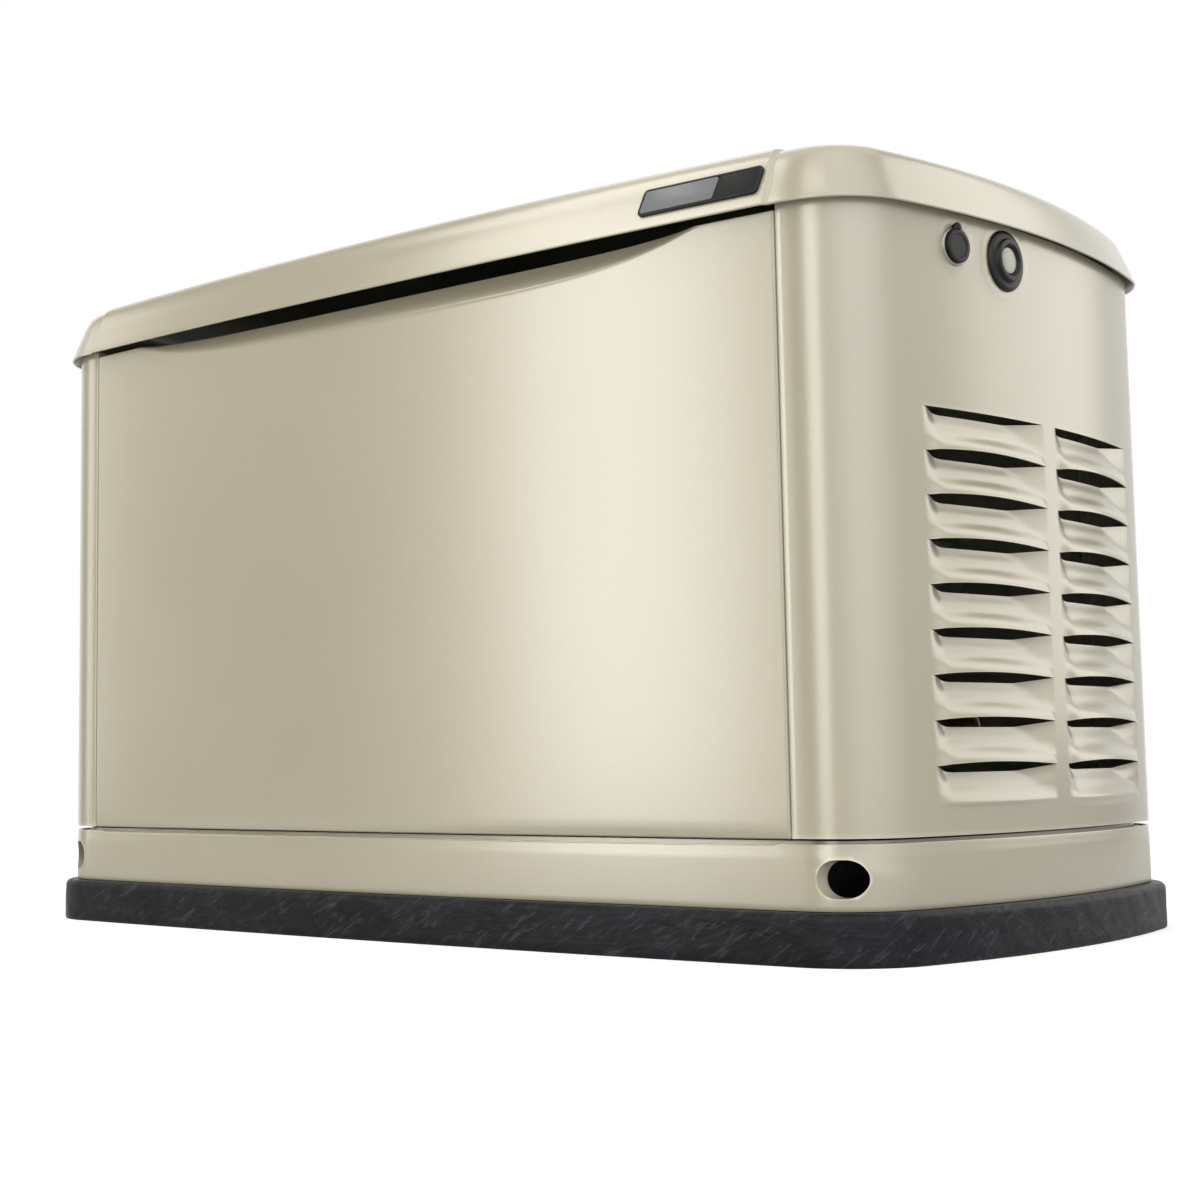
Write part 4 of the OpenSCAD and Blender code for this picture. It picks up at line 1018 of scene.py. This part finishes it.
def status_window():
    at = on_end(*WINDOW)
    rim = millimetres((12.6, -12.0), (15.0, -12.0), (15.0, 0.2), (29.0, 0.2), (29.0, 1.4), (28.2, 2.8), (26.6, 3.7),
                      (24.0, 4.2), (21.6, 4.3), (20.7, 4.8), (20.2, 6.4), (19.2, 7.7), (17.4, 8.2), (15.4, 7.9),
                      (14.0, 6.6), (13.2, 5.0), (12.6, 4.6))
    bezel = lathe("status_ring", rim, 120, at)
    place(bezel, materials["black_plastic"], ENCLOSURE, ["status_bezel"])
    dome = millimetres((0.0, -8.0), (12.45, -8.0), (12.45, 4.6), (12.0, 5.4), (10.6, 5.8), (7.0, 6.0), (3.5, 6.1),
                       (0.0, 6.1))
    lens_dome = lathe("status_dome", dome, 96, at)
    place(lens_dome, materials["lens_plastic"], ENCLOSURE, ["status_lens"])


# ---------- what shows when it is open ----------

# Moulded, cast and folded pieces, each with the radius of its edges in millimetres.
ROUNDED = {
    "air_box": 4.0, "air_box_cover": 3.5, "controller_box": 3.0, "battery": 4.5, "battery_tray": 0.5,
    "exhaust_box": 0.6, "partition_shelf": 0.5, "main_breaker": 2.5, "breaker_handle": 1.2,
    "valve_covers": 3.0, "fuel_regulator": 1.5, "button_auto": 0.7, "button_manual": 0.7, "button_off": 0.7,
    "display": 0.5, "hinge_leaves": 0.4, "hinge_straps": 0.4,
}


def round_edges():
    """Stands a copy with rounded edges in for each of those nodes."""
    for node, radius in ROUNDED.items():
        mesh = frame["nodes"][node].data.copy()
        with editing(mesh) as edit:
            bmesh.ops.remove_doubles(edit, verts=edit.verts, dist=WELD)
            bmesh.ops.dissolve_limit(edit, angle_limit=math.radians(1.5), verts=edit.verts, edges=edit.edges)
        obj = add_object(f"{node}_finished", mesh)
        modify(obj, bevel(radius * MM, 3, 50))
        place(obj, materials[SLOTS[node]], BODIES[node], [node], 40)


def keep_cad_nodes():
    """Gives every CAD node its material. Those that nothing replaces are seen as they are."""
    for name, obj in frame["nodes"].items():
        obj.data.materials.clear()
        obj.data.materials.append(materials[SLOTS[name]])


# ---------- stage ----------

AMBIENT = 0.07
WHITE = (1.0, 1.0, 1.0, 1)
FLOOR_R = 2.3
# Each is a direction, where its glow starts and is full as a cosine from it, and the glow.
SKY = (
    ((-0.66, 0.744, 0.1), 0.55, 0.82, 0.97),
    ((0.64, -0.5, 0.58), 0.5, 1.0, 1.2),
    ((0.97, -0.1, 0.2), 0.5, 1.0, 1.15),
)
WARM = (1.0, 0.972, 0.9)
# Each soft panel's name, place, what it faces, its size and its radiance.
LIGHTS = (
    ("key", (-1.22, -2.53, 0.85), (0.1, -0.3, 0.45), (0.68, 1.8), 6.4),
    ("left_strip", (-2.7, -1.35, 0.9), (-0.45, -0.3, 0.4), (0.4, 1.8), 3.3),
    ("crest", (-0.9, -1.15, 2.35), (0.35, -0.31, 0.7), (0.6, 0.9), 5.0),
    ("crest_left", (-2.4, -0.85, 1.6), (-0.45, -0.33, 0.7), (0.7, 0.7), 1.9),
    ("crest_corner", (0.75, -1.6, 2.4), (0.53, -0.3, 0.72), (0.9, 0.5), 3.4),
    ("corner", (0.85, -3.1, 1.2), (0.54, -0.3, 0.5), (0.9, 2.6), 4.2),
    ("side", (1.9, 2.3, 1.6), (0.6, 0.0, 0.5), (1.8, 3.0), 2.0),
    ("top", (0.0, 0.3, 3.2), (0.0, 0.2, 0.0), (3.6, 3.2), 0.85),
)


def studio():
    """A plain pale floor that throws little light back, a white backdrop and soft studio lights."""
    scene = bpy.context.scene
    world = bpy.data.worlds.new("studio")
    world.use_nodes = True
    nodes, links = world.node_tree.nodes, world.node_tree.links
    around = nodes.new("ShaderNodeTexCoord").outputs["Generated"]
    total = AMBIENT
    for towards, start, full, glow in SKY:
        dot, lobe, add = (nodes.new("ShaderNode" + k) for k in ("VectorMath", "MapRange", "Math"))
        dot.operation, lobe.interpolation_type, add.operation = "DOT_PRODUCT", "SMOOTHSTEP", "ADD"
        dot.inputs[1].default_value = towards
        links.new(around, dot.inputs[0])
        links.new(dot.outputs["Value"], lobe.inputs["Value"])
        for key, value in (("From Min", start), ("From Max", full), ("To Min", 0.0), ("To Max", glow)):
            lobe.inputs[key].default_value = value
        links.new(lobe.outputs["Result"], add.inputs[0])
        if isinstance(total, float):
            add.inputs[1].default_value = total
        else:
            links.new(total, add.inputs[1])
        total = add.outputs["Value"]
    links.new(total, nodes["Background"].inputs["Strength"])
    nodes["Background"].inputs["Color"].default_value = WHITE
    # What is seen past the floor is plain white; the soft glows only light the piece.
    plain, mix, path = (nodes.new("ShaderNode" + k) for k in ("Background", "MixShader", "LightPath"))
    plain.inputs["Strength"].default_value = 1.0
    plain.inputs["Color"].default_value = WHITE
    links.new(path.outputs["Is Camera Ray"], mix.inputs[0])
    links.new(nodes["Background"].outputs[0], mix.inputs[1])
    links.new(plain.outputs[0], mix.inputs[2])
    links.new(mix.outputs[0], nodes["World Output"].inputs["Surface"])
    scene.world = world
    scene.view_settings.view_transform = "Standard"

    round_floor = [(FLOOR_R * math.cos(t), FLOOR_R * math.sin(t), 0) for t in np.arange(64) * 2 * math.pi / 64]
    floor = new_object("floor", round_floor, [tuple(range(64))])
    m = Material("floor_paper", roughness=0.9, Emission_Color=WHITE, Emission_Strength=0.2)
    # The floor is seen pale and lights the piece as if it were greyer.
    seen = m.nodes.new("ShaderNodeLightPath").outputs["Is Camera Ray"]
    m.colour(m.mix(seen, "#a2a2a1", m.ramp(m.noise(1.2, 3), (0.3, "#f3f3f2"), (0.7, "#f7f7f6"))))
    m.bump(m.noise(400, 2), 0.0001, 0.2)
    floor.data.materials.append(m.material)

    for name, at, towards, (wide, tall), glow in LIGHTS:
        light = bpy.data.lights.new(name, "AREA")
        light.shape, light.size, light.size_y = "RECTANGLE", wide, tall
        light.energy, light.color = glow * math.pi * wide * tall, WARM
        obj = add_object(name, light)
        obj.location = at
        obj.rotation_euler = (Vector(towards) - Vector(at)).to_track_quat("-Z", "Y").to_euler()


def camera():
    """The photograph's viewpoint: low, off the front right corner."""
    at = (1.536618, -1.834821, 0.182493)
    yaw, pitch, roll = 0.726, 0.105, -0.014
    right = Vector((math.cos(yaw), math.sin(yaw), 0))
    ahead = Vector((-math.sin(yaw) * math.cos(pitch), math.cos(yaw) * math.cos(pitch), math.sin(pitch)))
    up = right.cross(ahead)
    right, up = (math.cos(roll) * right + math.sin(roll) * up, math.cos(roll) * up - math.sin(roll) * right)
    data = bpy.data.cameras.new("camera")
    data.sensor_width, data.lens = 36.0, 63.38
    data.shift_x, data.shift_y = 0.0758, -0.0549
    data.clip_start, data.clip_end = 0.05, 60
    obj = add_object("camera", data)
    obj.matrix_world = Matrix.Translation(at) @ Matrix((right, up, -ahead)).transposed().to_4x4()
    bpy.context.scene.camera = obj


camera()
studio()
keep_cad_nodes()
round_edges()
pad_slab()
base_tray()
end_sheet("right_louvre_sheet", 1, "right_end_panel")
end_sheet("left_louvre_sheet", -1, "left_end_panel")
front_sheet()
rear_sheet()
lid_shell()
badge()
locks()
status_window()
